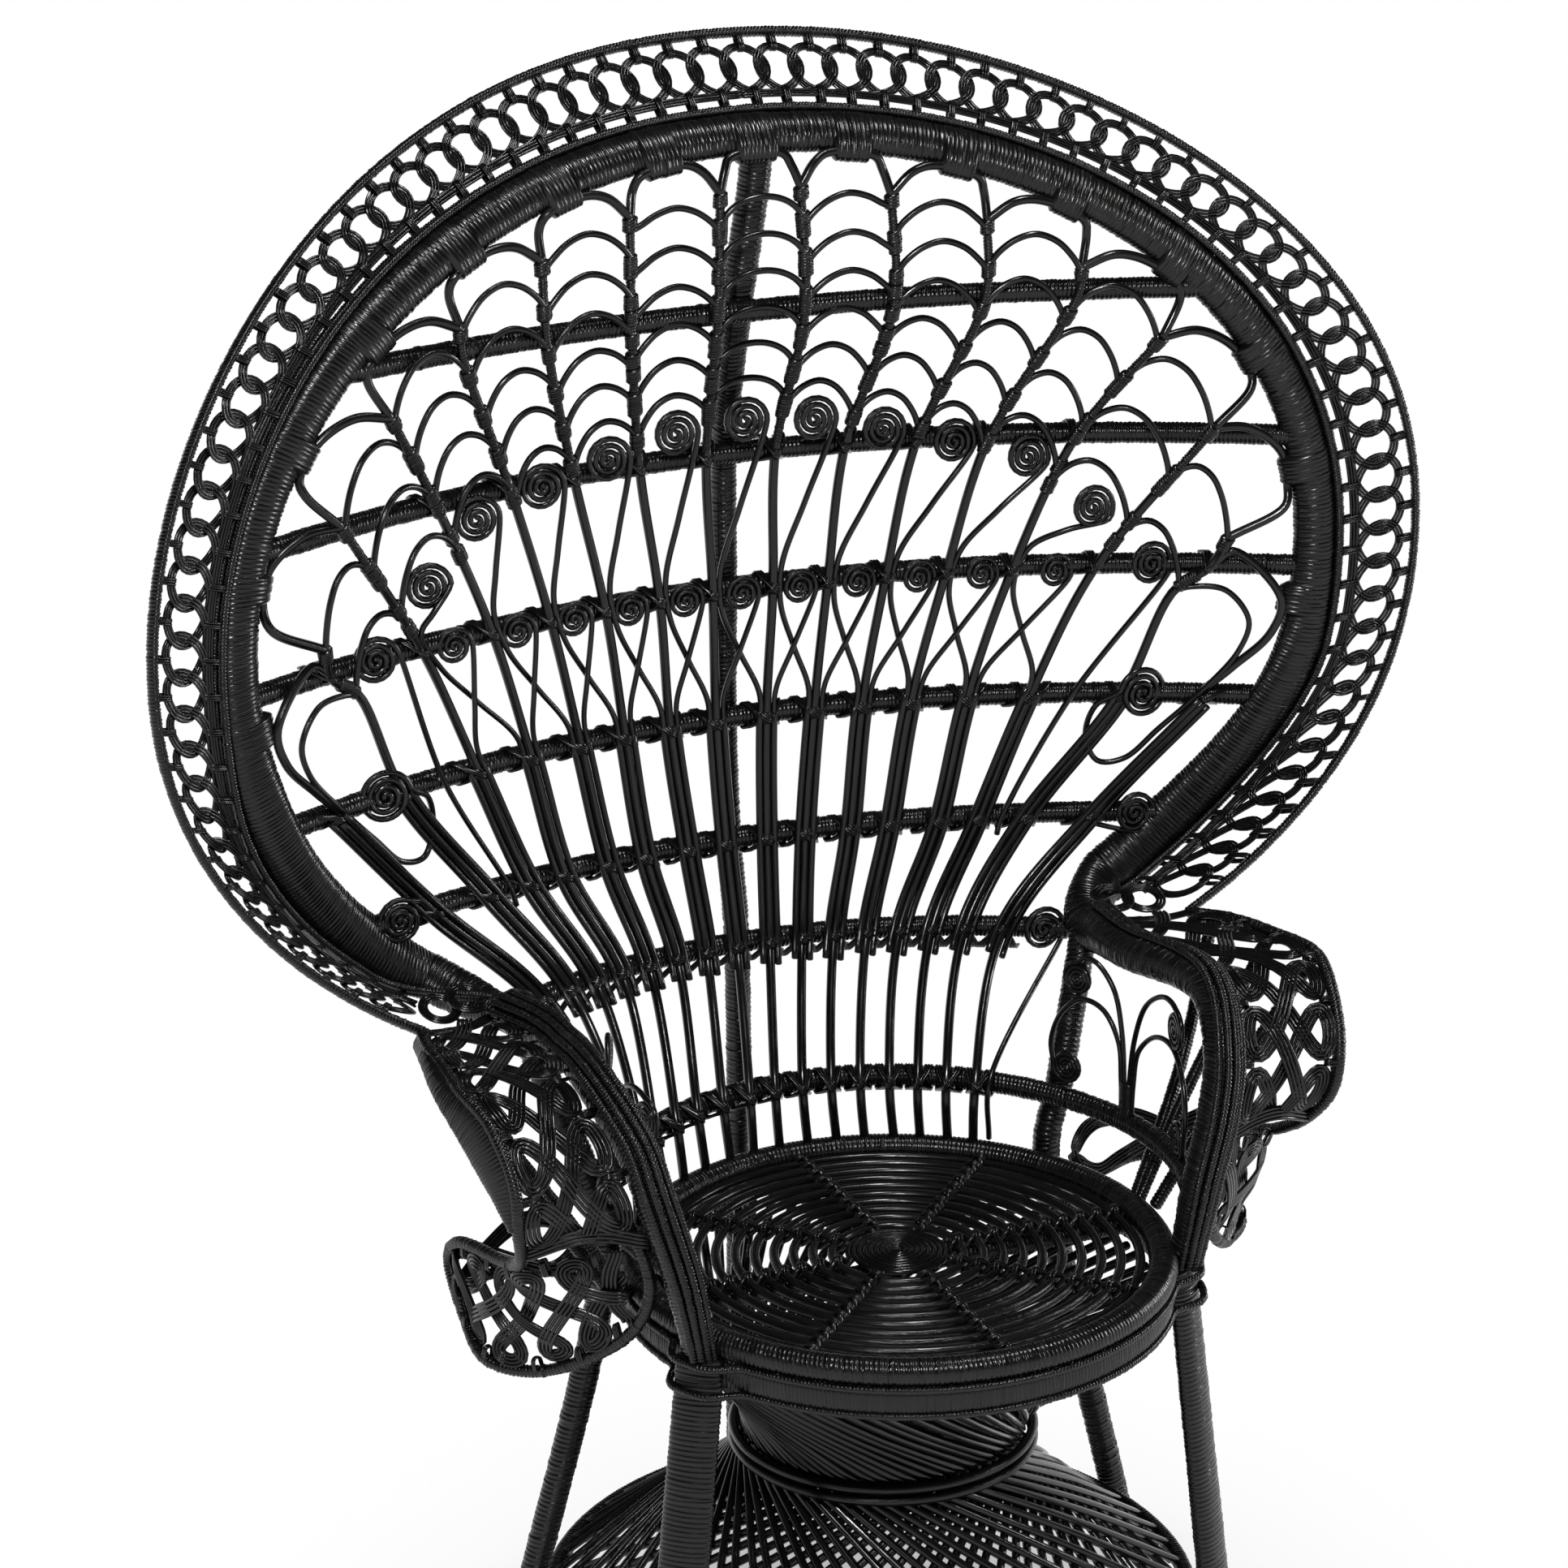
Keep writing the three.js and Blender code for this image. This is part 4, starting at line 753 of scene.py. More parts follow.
def side_scrolls(large, small, name, side):
    """The scrolls and loops next to the hoop."""
    r3, r4, r5 = RAILS[2:5]
    x, z = SCROLLS[6]
    stem = []
    for rail, across in zip((r4, r5), LAST_SCROLL_FEET):
        stem.append(at(across * side, rail_depth(rail, across) - BEFORE_RAIL - 1, rail["z"]))
    stem.append(stem[-1] + at(-4 * side, 0, -14))
    large.scroll(at(x * side, rail_depth(r3, x) - 14, z), *LARGE_SCROLL, stem)
    loops = Weave(f"outer_loops_{name}")
    start = rib_at(6, 938)
    path = np.vstack([start, start + at(16, -6, 10), OUTER_LOOP, RIBS[7][-2:-1]])
    loops.cane(mirror(path, side), RIB_RADIUS - 0.4, 5.0, 8)
    x, z, radius = LOOP_SCROLL
    turn = np.linspace(math.pi * 0.94, -6.2 * math.pi, 90)
    curl = coil(at(x, rail_depth(r4, x) - 14, z), RIGHT, UP, np.linspace(radius, 1.2, len(turn)), turn)
    path = smooth(np.vstack([INNER_LOOP, curl[:4]]), 4.0)
    loops.sweep(mirror(np.vstack([path[:-1], curl[3:]]), side), LOOP_CANE, 7)
    loops.done(CANE, "cane")
    for x, rail, radius in SIDE_SCROLLS:
        centre = at(x * side, rail_depth(rail, x) - RAIL_RADIUS - 4, rail["z"] + 3)
        if rail is r5:
            stem = [at((x - 60) * side, rail_depth(rail, x - 60), rail["z"] - 3)]
        else:
            stem = [mirror((*STEM_FOOT, z), side) for z in (ARM_RAIL_Z + 8, SEAT_Z)]
        small.scroll(centre, radius, LARGE_SCROLL[1], SIDE_SCROLL_CANE, stem)


def curls():
    """Scrolls under the arches and on the rails, and the lashings of the ribs."""
    large, small, lashes = Weave("large_scrolls"), Weave("small_scrolls"), Weave("rail_lashings")
    for bay in range(-5, 6):
        bay_scrolls(large, small, bay)
    for name, side in SIDES:
        side_scrolls(large, small, name, side)
    large.done(CANE, "cane")
    small.done(CANE, "cane")
    for rail in RAILS[1:]:
        z, width = rail["z"], BUNDLE_LASH if rail["z"] <= RAILS[3]["z"] else 0.0
        for rib, x in enumerate(rail["ribs"]):
            for side in (-1, 1):
                own = rib if side > 0 else -1 - rib
                slope = unit(at(1, -2 * rail["bow"] * x, 0)) * at(1, side, 1)
                spot = at(x * side, rail_depth(rail, x) - BEFORE_RAIL, z)
                lash(lashes, spot, unit(rib_at(own, z + 8) - rib_at(own, z - 8)), slope, width)
    for rib in range(RIB_COUNT):
        for side in (-1, 1):
            spot = rib_at(rib if side > 0 else -1 - rib, ARM_RAIL_Z)
            lash(lashes, spot, UP, np.cross(unit(spot * at(1, 1, 0)), UP))
    lashes.done(CANE, "cane")


POST = (
    (0, 360.6, 0), (0, 360.6, 78), (-3, 353.1, 601), (-4, 369.1, 696), (-3, 380.1, 809), (-4, 375.1, 932),
    (-2, 379.1, 1055), (-9, 332, 1194), (7, 331, 1300), (10, 328, 1346),
)
# The post is wound twice above the second rail
POST_RADIUS, POST_TOP_RADIUS = 12.0, 14.5
POST_WINDING = dict(pitch=4.4, sides=14, guide=RIGHT, groove=0.9)
LEG_WINDING = dict(pitch=4.5, groove=0.95)
BACK_LEG, BACK_LEG_RADIUS = ((312, 153.7, 0), (214, 146, 430), (231, 155.2, 492), (272, 194, 619)), 13
# The front legs are oval: from top to foot, half widths, half depths, and the way that the width runs
FRONT_LEG = ((224, -97, 420), (270, -117, 0))
FRONT_LEG_WIDE, FRONT_LEG_DEEP = (21.0, 24.5), (10.0, 11.0)
FRONT_LEG_WAY = (0.788, 0.616, 0)


def posts():
    path = smooth(POST, 6.0)
    size = np.interp(path[:, 2], (RAILS[1]["z"], RAILS[0]["z"]), (POST_RADIUS, POST_TOP_RADIUS))
    rod("centre_post", path, size, **POST_WINDING)
    for name, side in SIDES:
        path, way = mirror(FRONT_LEG, side), mirror(FRONT_LEG_WAY, side)
        rod(f"leg_front_{name}", path, (FRONT_LEG_WIDE, FRONT_LEG_DEEP), sides=18, guide=way, **LEG_WINDING)
        path = mirror(smooth(BACK_LEG, 6.0), side)
        rod(f"leg_back_{name}", path, BACK_LEG_RADIUS, sides=14, guide=FRONT, **LEG_WINDING)


# Arms: a wound roll from the waist of the hoop, over and down to the front leg, with welts along its top
ARM = (
    WAIST_BEND, ARM_START[1], (282, -22, 640), (270, -74, 603), (259, -89, 561), (240, -96, 495),
    (224, -97, 416),
)
ARM_WINDING = dict(pitch=3.9, sides=18, groove=0.95, lean=0.3)
ARM_SIZES = ((0, 14), (0.1, ARM_RADIUS), (0.72, ARM_RADIUS), (0.86, 15.7), (1, 12.5))
# Turns of the outer and the inner welt from the side to the crest of the roll, on top and down the front
WELTS, WELT_RADIUS, WELT_LIFT = 4, 3.8, 2.0
TOP_WELTS, FRONT_WELTS, WELTS_TURN = (24, 90), (52, 124), (0.3, 0.62)
# Near the bend the welts lie on the wider hoop
WELT_SIZES, WELT_SIZES_END = ((0, 20), (0.12, 19.5), (0.3, ARM_RADIUS)), 0.3
PANEL_RIM = (
    (368, 172, 630), (383, 115, 641), (390, 60, 647), (397, -8, 650), (388, -51, 637), (380, -84, 597),
    (376, -83, 554), (366, -60, 520), (356, -20, 494), (354, 17, 481), (365, 103, 464), (361, 138, 430),
    (361, 103, 396), (361, 45, 379), (331, 13, 377), (292, -34, 406), (268, -66, 442), (262, -82, 482),
    (270, -78, 520), (280, -68, 548),
)
PANEL_RIM_RADIUS, TAIL_RIM_RADIUS = 5.6, 5.0
EDGE_PITCH, EDGE_SIDES = 3.4, 9
PANEL_CORNER, PANEL_FOOT_Z = 8, 522
# Along the top the rim is doubled, and a flat winding joins both rods
SECOND_RIM = (
    (374, 160, 626), (401, 58, 641), (408, 8, 640), (404, -23, 624), (391, -64, 587), (379, -81, 556),
)
RIM_BAND_WAY, RIM_BAND_OVER, RIM_BAND_THICK = at(5, 0, -4), 4.5, 5.4
LOBE_TOP = ((284, -72, 518), *PANEL_RIM[8:11], (363, 126, 449))
LOBE_FOOT = ((270, -64, 446), *PANEL_RIM[15:11:-1], (361, 128, 418))
# The lobe's weave runs on behind the panel to the back leg, in one loop: share of the way there and across
TAIL_TOP = ((365, 112, 462), (300, 150, 455), (236, 155, 443))
TAIL_FOOT = ((361, 122, 412), (300, 148, 408), (244, 138, 396))
TAIL_LOOP = (
    (0, 0.1), (0.3, 0.62), (0.6, 0.98), (0.85, 0.92), (0.97, 0.5), (0.85, 0.1), (0.62, 0.12), (0.3, 0.5),
    (0.05, 0.9),
)
TAIL_STEPS, TAIL_BACK = 40, at(0, -4.0, 0)
CORNER_LOOPS, CORNER_LOOP_RADIUS = ((312, 216, 637), (340, 208, 635)), 19
CORNER_CANES, CORNER_CANE = 3, 1.6
STRUTS = (
    ((240, 24, 425), (310, 72, 530), (372, 136, 634)),
    ((243, 22, 425), (313, 46, 535), (388, 60, 640)),
    ((254, 10, 425), (325, 5, 537), (395, -6, 643)),
)
STRUT_RADIUS, STRUT_WINDING = 6.0, dict(pitch=3.6, sides=10)
# Lace of the panels and the lobes: canes in a strand, and the length and the slack of one period
LACE_CANES, LACE_CANE, LACE_LIFT = 4, 1.85, 3.2
PANEL_PERIOD, PANEL_SLACK, LOBE_PERIOD, LOBE_SLACK = 110, 32, 88, 20
EDGE_GAP = 5
END_PLACE, END_BOW = 4.0, 14.0
# Curled canes on the arm rail: how far round from the foot in degrees, and height
MOTIF_FOOT = 11.4
TALL_CANE = ((0.6, 500), (0.8, 533), (1.8, 575), (4.5, 612), (9.5, 631), (13, 632))
SHORT_CANE = ((1.4, 500), (1.7, 531), (2.8, 565), (7.5, 589), (13.5, 592), (18.5, 573), (20.8, 545))
# Its two halves: direction, stretch, height of the low scroll and radius of both scrolls
MOTIF_HALVES = ((-1, 1.35, 514, 21.0), (1, 1.0, 524, 17.5))
TALL_SCROLL, SHORT_SCROLL_TURN = (14.4, 611), 16.8
MOTIF_TURNS, MOTIF_CANE, MOTIF_FOOT_SIZE = 3.2, 2.5, (8.0, 4.6)


def on_rail(turn, z, side):
    return mirror(level(ARM_RAIL_REACH - 2, math.radians(turn), z), side)


def motif(name, side):
    weave = Weave(f"arm_motif_{name}_canes")
    for hand, stretch, low, radius in MOTIF_HALVES:
        tall = (TALL_CANE, *TALL_SCROLL, math.pi / 2)
        short = (SHORT_CANE, SHORT_SCROLL_TURN, low, 0.15)
        for cane, out, high, begin in (tall, short):
            stem = [on_rail(MOTIF_FOOT + hand * a * stretch, z, side) for a, z in cane]
            centre = on_rail(MOTIF_FOOT + hand * out * stretch, high, side)
            ahead = unit(on_rail(MOTIF_FOOT + hand * (out * stretch + 4), high, side) - centre)
            turn = np.linspace(begin, begin - MOTIF_TURNS * TURN, round(MOTIF_TURNS * SCROLL_STEPS))
            curl = coil(centre, ahead, UP, np.linspace(radius - 2.5, 1.8, len(turn)), turn)
            path = np.vstack([smooth(np.vstack([stem, curl[:2]]), 4.0)[:-1], curl[1:]])
            weave.sweep(path, MOTIF_CANE, 7, unit(centre * at(1, 1, 0)))
    foot = np.array([on_rail(MOTIF_FOOT, z, side) for z in (498, 512, 530)])
    weave.wound(foot, MOTIF_FOOT_SIZE, 2.6, 10, np.cross(UP, unit(foot[0] * at(1, 1, 0))), 0.5)
    weave.done(CANE, "cane", f"arm_motif_{name}")


def arm_roll(name, side):
    path = mirror(smooth(ARM, 4.0), side)
    along = tangents(path)
    reach = lengths(path) / lengths(path)[-1]
    out = flat(RIGHT * side, along)
    crest = np.cross(out, along)
    crest = crest * np.sign(np.sum(crest * at(0, -0.6, 0.8), -1, keepdims=True))
    size = np.interp(reach, *zip(*ARM_SIZES))
    rod(f"arm_{name}", path, size, guide=out, **ARM_WINDING)
    weave = Weave(f"arm_{name}_welts")
    front = np.interp(reach, WELTS_TURN, (0, 1))
    under = np.maximum(size, np.interp(reach, *zip(*WELT_SIZES)) * (reach < WELT_SIZES_END))
    for share in np.arange(WELTS) / (WELTS - 1):
        top, low = (a + (b - a) * share for a, b in (TOP_WELTS, FRONT_WELTS))
        turn = np.radians(top + (low - top) * front)[:, None]
        welt = path + (out * np.cos(turn) + crest * np.sin(turn)) * (under + WELT_LIFT)[:, None]
        weave.wound(welt[4:-1], WELT_RADIUS, **THIN_WINDING)
    weave.done(WOUND, "wrapped")


def lace(weave, strip, period, slack):
    """Two flat strands that cross between two edges and turn back in a loop at each."""
    turns = strip.length / period
    t = np.linspace(0.25 * math.pi, TURN * turns - 0.25 * math.pi, round(turns * 40))
    s = period * t / TURN - slack * np.sin(2 * t)
    for strand, over in ((0, -np.cos(2 * t)), (1, np.cos(2 * t))):
        v = 0.5 + 0.44 * np.cos(t + strand * math.pi)
        normal = strip.normal(s, v)
        path = strip.at(s, v) + normal * (LACE_LIFT * over)[:, None]
        weave.strand(path, np.cross(tangents(path), normal), LACE_CANES, LACE_CANE, 5, normal)


def end_strand(weave, strip, s, bow):
    """A strand across the end of a panel, bowed into it."""
    v = np.linspace(-0.04, 1.04, 14)
    path = strip.at(s + bow * np.sin(math.pi * np.clip(v, 0, 1)), v)
    across = flat(strip.at(s - 6.0, v[0]) - strip.at(s + 6.0, v[0]), unit(path[-1] - path[0]))
    weave.strand(path, across, LACE_CANES, LACE_CANE, 6)


def woven(weave, inner, outer, period, slack, gap):
    """Lace between two edges, tied to both wherever it turns, with a strand across each end."""
    way = unit(outer - inner)
    strip = Strip(inner + way * gap, outer - way * EDGE_GAP)
    lace(weave, strip, period, slack)
    for k in range(int(strip.length / period * 2)):
        for low, high in ((-0.05, 0.08), (0.92, 1.05)):
            strip.tie(weave, period / 2 * (k + 0.5), low, high, OUTER_TIE_HALF)
    end_strand(weave, strip, END_PLACE, END_BOW)
    end_strand(weave, strip, strip.length - END_PLACE, -END_BOW)


def tail(weave, side):
    """One strand that leaves the lobe, loops round beside the back leg and comes back across itself."""
    top, foot = even(TAIL_TOP, TAIL_STEPS), even(TAIL_FOOT, TAIL_STEPS)
    for turned in (False, True):
        points = []
        for s, v in TAIL_LOOP:
            k = round(s * (TAIL_STEPS - 1))
            points.append(top[k] + (foot[k] - top[k]) * (1 - v if turned else v))
        path = mirror(smooth(points, 4.0), side)
        path = path + TAIL_BACK if turned else path
        weave.strand(path, flat(UP, tangents(path)), LACE_CANES, LACE_CANE, 6)


def corner_loop(weave, centre, side):
    """A ring of canes that lies in the corner between the hoop, the rim and the arm."""
    ahead, out = unit(at(0.89 * side, -0.46, -0.02)), unit(at(0.3 * side, 0.9, 0.3))
    turn = TURN * np.arange(28) / 28
    for k in range(CORNER_CANES):
        path = coil(centre, ahead, out, CORNER_LOOP_RADIUS - k * CORNER_CANE * STRAND_PITCH, turn)
        weave.sweep(path, CORNER_CANE, 6, np.cross(ahead, out), True)


def panel_rim(name, side):
    weave = Weave(f"arm_panel_rim_{name}_winding")
    path = mirror(smooth(PANEL_RIM, 4.0), side)
    weave.wound(path, PANEL_RIM_RADIUS, EDGE_PITCH, EDGE_SIDES)
    first, second = (even(edge, 90) for edge in (PANEL_RIM[:PANEL_CORNER - 1], SECOND_RIM))
    way = mirror(unit(second - first + RIM_BAND_WAY), side)
    wide = np.linalg.norm(second - first, axis=1) / 2 + RIM_BAND_OVER
    weave.wound(mirror((first + second) / 2, side), (wide, RIM_BAND_THICK), EDGE_PITCH, guide=way)
    path = mirror(smooth(TAIL_FOOT, 4.0), side)
    weave.wound(path, TAIL_RIM_RADIUS, EDGE_PITCH, EDGE_SIDES)
    weave.done(WOUND, "wrapped", f"arm_panel_rim_{name}")


def arms():
    roll = smooth(ARM, 4.0)
    panel = even(roll[roll[:, 2] > PANEL_FOOT_Z], 80), even(PANEL_RIM[:PANEL_CORNER], 80)
    lobe = even(LOBE_TOP, 60), even(LOBE_FOOT, 60)
    for name, side in SIDES:
        arm_roll(name, side)
        panel_rim(name, side)
        weave = Weave(f"arm_struts_{name}_winding")
        for strut in STRUTS:
            weave.wound(mirror(smooth(strut, 5.0), side), STRUT_RADIUS, **STRUT_WINDING)
        weave.done(WOUND, "wrapped")
        weave = Weave(f"arm_panel_{name}_weave")
        woven(weave, *(mirror(edge, side) for edge in panel), PANEL_PERIOD, PANEL_SLACK, ARM_RADIUS + 4)
        for centre in CORNER_LOOPS:
            corner_loop(weave, mirror(centre, side), side)
        weave.done(CANE, "cane", f"arm_panel_{name}")
        weave = Weave(f"arm_lobe_{name}_weave")
        woven(weave, *(mirror(edge, side) for edge in lobe), LOBE_PERIOD, LOBE_SLACK, EDGE_GAP)
        tail(weave, side)
        weave.done(CANE, "cane", f"arm_lobe_{name}")
        motif(name, side)


# Seat: a wound roll over a flat band between two cords, and a mat of cane rings on dividers
MAT_RINGS, MAT_CANE, MAT_Z = 10, 4.3, 430.5
MAT_FIRST, MAT_PITCH = 57.0, 16.8
DIVIDERS, DIVIDER_CANE, DIVIDER_SWING = 8, 2.5, 3.4
CENTRE_RADIUS, CENTRE_TURNS, CENTRE_CANE = 46, 8.5, 2.55
APRON_OUT, APRON_Z, APRON_SIZE = 7.5, 405.5, (3.5, 12.5)
CORD_RADIUS, CORD_SWING = 3.6, 7.5
# How far outside the roll's middle each cord runs, and its height
CORDS = ((11.0, 418.5), (9.5, 394.5))
BARS = (("seat_bar_1", RIGHT, 417.7), ("seat_bar_2", FRONT, 401.4))
BAR_RADIUS, BAR_GROOVE = 8, 0.5


def apron_cord(reach, z):
    """A level cord round the seat that swings out round the front legs."""
    angle = np.radians(np.arange(90, 450.1, 1.0))
    top, foot = np.array(FRONT_LEG, float)
    spot = top + (foot - top) * (top[2] - z) / top[2]
    leg = math.atan2(spot[1], spot[0])
    out = math.hypot(spot[0], spot[1]) + FRONT_LEG_DEEP[0] + CORD_RADIUS + 3 - reach
    swing = np.zeros_like(angle)
    for middle in (leg, math.pi - leg):
        turn = np.abs((angle - middle + math.pi) % TURN - math.pi)
        swing = np.maximum(swing, out * np.exp(-(turn / math.radians(CORD_SWING)) ** 4))
    return level(reach + swing, angle, z)


def divider(weave, turn):
    """Two canes that cross between the mat's rings, tied at each."""
    out, across = at(math.cos(turn), math.sin(turn), 0), at(-math.sin(turn), math.cos(turn), 0)
    reach = np.arange(CENTRE_RADIUS, SEAT_REACH - 6, 2.2)
    wave = math.pi * (reach - MAT_FIRST) / MAT_PITCH
    for hand in (0, math.pi):
        path = np.outer(reach, out) + np.outer(DIVIDER_SWING * np.sin(wave + hand), across)
        path = path + np.outer(MAT_Z + (MAT_CANE + 1.6) * np.cos(wave + hand), UP)
        weave.sweep(path, DIVIDER_CANE, 6)
    for ring in range(MAT_RINGS):
        spot = out * (MAT_FIRST + MAT_PITCH * ring) + UP * MAT_Z
        weave.tie(spot - across * 2, spot + across * 2, out, UP, MAT_CANE + 3.0, 3.6, 2, 1.7)


def seat():
    weave = Weave("seat_ring_winding")
    weave.ring(SEAT_REACH, SEAT_Z - SEAT_ROLL, SEAT_ROLL, 4.0, 14)
    weave.ring(SEAT_REACH + APRON_OUT, APRON_Z, APRON_SIZE, 3.4, 12)
    for out, z in CORDS:
        weave.wound(apron_cord(SEAT_REACH + out, z), CORD_RADIUS, 3.4, 8, UP)
    weave.done(WOUND, "wrapped", "seat_ring")
    weave = Weave("seat_mat_canes")
    for k in range(MAT_RINGS):
        weave.hoop(MAT_FIRST + MAT_PITCH * k, MAT_Z + rng.normal(0, 0.4), MAT_CANE, 120)
    for k in range(DIVIDERS):
        divider(weave, TURN * k / DIVIDERS)
    weave.done(CANE, "cane", "seat_mat")
    weave = Weave("seat_centre_spiral")
    turn = np.linspace(0, CENTRE_TURNS * TURN, round(CENTRE_TURNS * 40))
    size = 2 + (CENTRE_RADIUS - 4) * turn / turn[-1]
    path = level(size, turn, MAT_Z + 2.0 - 1.5 * (size / CENTRE_RADIUS) ** 2)
    weave.sweep(path, CENTRE_CANE, 8, UP)
    weave.done(CANE, "cane", "seat_centre")
    for name, way, z in BARS:
        path = np.outer(np.linspace(-SEAT_REACH + 8, SEAT_REACH - 8, 60), way) + UP * z
        rod(name, path, BAR_RADIUS, "cane", guide=UP, groove=BAR_GROOVE, **STRUT_WINDING)


# Hourglass base: two rings and the canes between the seat and them, which lean by the twist in degrees
WAIST_Z, WAIST_REACH, WAIST_BACK = 252, 127, 30
BASE_Z, BASE_REACH, BASE_TUBE, BASE_BACK = 78, 286, 8, 55
TWIST = 62
UPPER_CANES, UPPER_CANE, UPPER_TOP_Z = 64, 4.1, 398
LOWER_CANES, LOWER_CANE = 56, 3.8
# The two layers of the lower canes: how far inside the rings, direction, and share of a pitch
LAYERS = ((4, 2, 1, 0.0), (11, 9, -1, 0.5))
# The waist's hoops: how far out, height and cane
WAIST_HOOPS = ((5, -5.5, 4.6), (5, 5.5, 4.6), (-12, 0, 9.0))


def twist(weave, top, bottom, count, angle, cane, start=0.0):
    """Canes leaning the same way between two level rings of (reach, height, back)."""
    for k in range(count):
        turn = TURN * (k + start) / count + rng.normal(0, 0.008)
        ends = []
        for (reach, z, back), swing in ((top, 0), (bottom, math.radians(angle))):
            ends.append(level(reach, turn + swing, z) + at(0, back, 0))
        middle = (ends[0] + ends[1]) / 2
        out = (middle - at(0, (top[2] + bottom[2]) / 2, 0)) * at(1, 1, 0)
        reach = np.linalg.norm(out)
        middle = middle + out / reach * ((top[0] + bottom[0]) / 2 - reach) * 0.35
        weave.cane([ends[0], middle, ends[1]], cane, 12.0)


def base():
    weave = Weave("base_twist_upper_canes")
    waist = (WAIST_REACH - 4, WAIST_Z + 8, WAIST_BACK)
    twist(weave, (SEAT_REACH - 6, UPPER_TOP_Z, 0), waist, UPPER_CANES, TWIST, UPPER_CANE)
    weave.done(CANE, "cane", "base_twist_upper")
    weave = Weave("base_twist_lower_canes")
    for inside_waist, inside_base, way, start in LAYERS:
        waist = (WAIST_REACH - inside_waist, WAIST_Z - 8, WAIST_BACK)
        floor = (BASE_REACH - inside_base, BASE_Z + 3, BASE_BACK)
        twist(weave, waist, floor, LOWER_CANES, way * TWIST, LOWER_CANE, start)
    weave.done(CANE, "cane", "base_twist_lower")
    weave = Weave("waist_ring_canes")
    for out, rise, cane in WAIST_HOOPS:
        weave.hoop(WAIST_REACH + out, WAIST_Z + rise, cane, back=WAIST_BACK)
    weave.done(CANE, "wrapped", "waist_ring")
    weave = Weave("base_ring_winding")
    weave.ring(BASE_REACH, BASE_Z, BASE_TUBE, 3.8, 10, BASE_BACK)
    weave.done(WOUND, "wrapped", "base_ring")


# Camera: its axes and place, solved from the photograph
CAMERA_RIGHT, CAMERA_UP = at(0.91890, -0.39448, -0.00113), at(0.13012, 0.30039, 0.94490)
CAMERA_AHEAD, CAMERA_PLACE = at(0.37241, 0.86842, -0.32736), at(-1506.685, -3260.498, 2101.994)
CAMERA_LENS, CAMERA_SHIFT = 104.93, (0.0011, 0.0004)
# Lamps, in metres: name, place, target, size and power
LAMPS = (
    ("key", at(-1.2, -2.6, 3.2), at(0, 0, 0.8), (0.5, 0.3), 80),
    ("top", at(0.3, -0.3, 3.4), at(0, 0, 0.9), (0.7, 0.25), 34),
    ("fill", at(3.1, -0.6, 1.3), at(0, 0, 0.8), (0.3, 1.1), 40),
)
AMBIENT, AMBIENT_STRENGTH = (0.9, 0.93, 1.0, 1), 0.3
# How high the reflected ceiling begins, as a share of straight up, and how bright it is
CEILING_FROM, CEILING_LEVEL = 0.32, 0.05
FLOOR_COLOUR, FLOOR_ROUGHNESS, FLOOR_SHADE_REACH = (0.82, 0.82, 0.82, 1), 0.9, 0.35


def stand(name, data, right, up, back, place):
    """An object with the given axes at a place in metres."""
    thing = bpy.data.objects.new(name, data)
    bpy.context.scene.collection.objects.link(thing)
    turn = np.eye(4)
    turn[:3] = np.stack([right, up, back, place], 1)
    thing.matrix_world = Matrix(turn.tolist())
    return thing


def camera():
    data = bpy.data.cameras.new("camera")
    place = (CAMERA_PLACE + at(0, SEAT_AXIS_Y, 0)) / 1000
    eye = stand("camera", data, CAMERA_RIGHT, CAMERA_UP, -CAMERA_AHEAD, place)
    data.lens, data.sensor_width = CAMERA_LENS, 36
    data.shift_x, data.shift_y = CAMERA_SHIFT
    data.clip_start, data.clip_end = 0.1, 100
    bpy.context.scene.camera = eye


def lamp(name, place, target, size, power):
    data = bpy.data.lights.new(name, "AREA")
    data.shape, data.size, data.size_y, data.energy = "RECTANGLE", *size, power
    back = unit(place - target)
    side = unit(np.cross(UP, back))
    stand(name, data, side, np.cross(back, side), back, place)


def seen(tree, *kinds):
    """Outputs that are 1 for rays of each kind."""
    path = tree.nodes.new("ShaderNodeLightPath")
    return [path.outputs[f"Is {kind} Ray"] for kind in kinds]


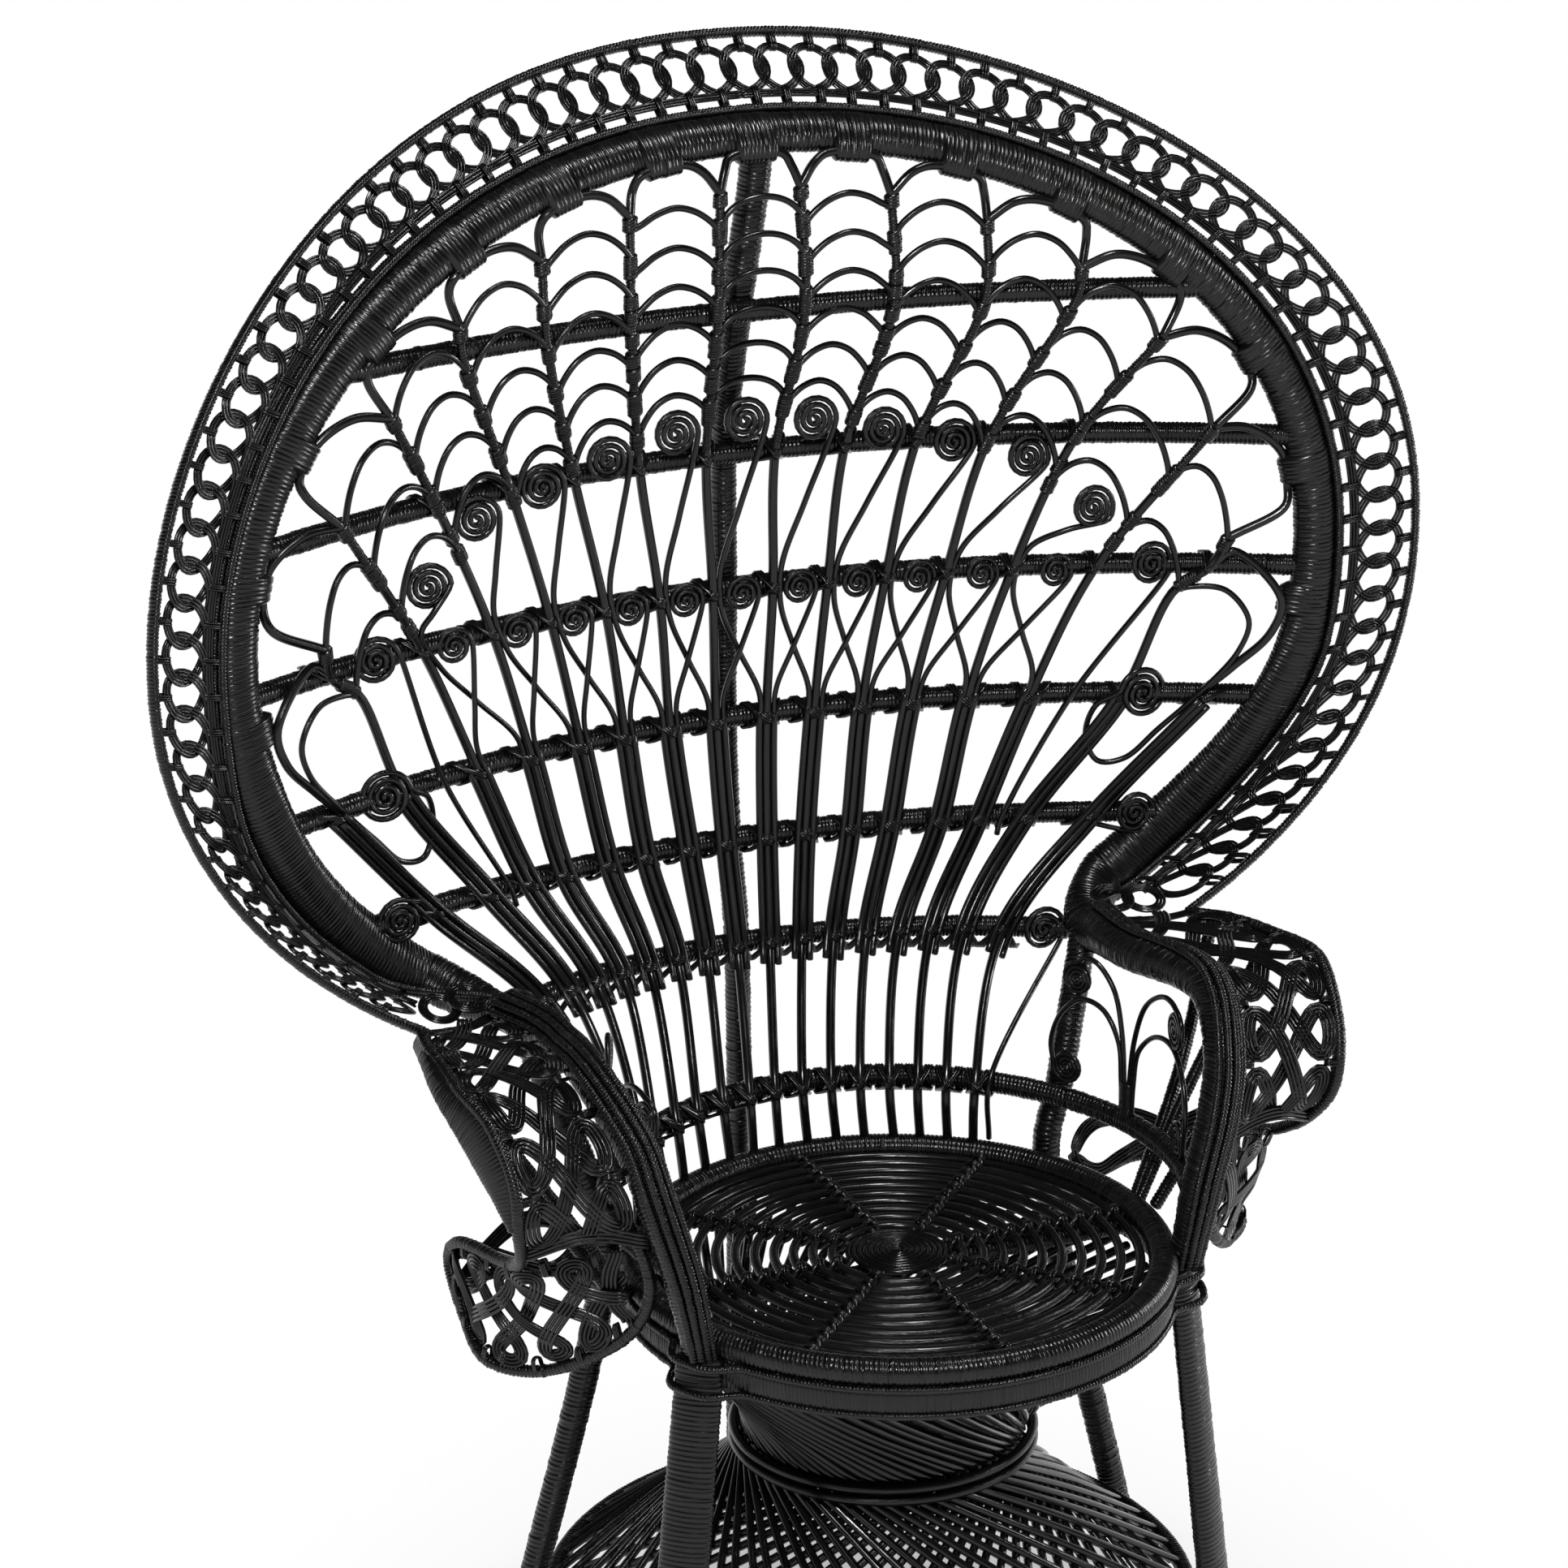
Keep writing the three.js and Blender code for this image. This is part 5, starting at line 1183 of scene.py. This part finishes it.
def brightest(tree, first, *others):
    for other in others:
        first = node(tree, "Math", {0: first, 1: other}, "MAXIMUM").outputs[0]
    return first


def backdrop_level(tree):
    """White all round the horizon and to the eye, while reflections meet a dim ceiling."""
    facing = tree.nodes.new("ShaderNodeTexCoord").outputs["Generated"]
    ceiling = node(tree, "MapRange", {
        "Value": node(tree, "SeparateXYZ", {0: facing}).outputs["Z"],
        "From Min": 0.0, "From Max": CEILING_FROM, "To Min": 1.0, "To Max": CEILING_LEVEL,
    })
    return brightest(tree, ceiling.outputs["Result"], *seen(tree, "Camera", "Transmission"))


def show_white(tree, lit, white, output):
    """Gives the rays that should meet a white background the white shader, and the rest the lit one."""
    share = brightest(tree, *seen(tree, "Camera", "Glossy", "Transmission"))
    mix = node(tree, "MixShader", {0: share, 1: lit.outputs[0], 2: white.outputs[0]})
    feed(tree, tree.nodes[output].inputs["Surface"], mix.outputs[0])


def studio():
    scene = bpy.context.scene
    scene.view_settings.view_transform = "Standard"
    world = bpy.data.worlds.new("studio")
    scene.world = world
    world.use_nodes = True
    tree = world.node_tree
    ambient = tree.nodes["Background"]
    ambient.inputs["Color"].default_value = AMBIENT
    ambient.inputs["Strength"].default_value = AMBIENT_STRENGTH
    white = node(tree, "Background", {"Color": (1, 1, 1, 1), "Strength": backdrop_level(tree)})
    show_white(tree, ambient, white, "World Output")
    bpy.ops.mesh.primitive_plane_add(size=30)
    floor = bpy.context.object
    floor.name = "floor"
    material = bpy.data.materials.new("floor")
    material.use_nodes = True
    tree = material.node_tree
    shader = tree.nodes["Principled BSDF"]
    shader.inputs["Base Color"].default_value = FLOOR_COLOUR
    shader.inputs["Roughness"].default_value = FLOOR_ROUGHNESS
    shade = node(tree, "AmbientOcclusion", {"Distance": FLOOR_SHADE_REACH})
    show_white(tree, shader, node(tree, "Emission", {"Color": shade.outputs["Color"]}), "Material Output")
    floor.data.materials.append(material)
    for one in LAMPS:
        lamp(*one)


fan()
border()
rails()
back()
curls()
posts()
arms()
seat()
base()
camera()
studio()
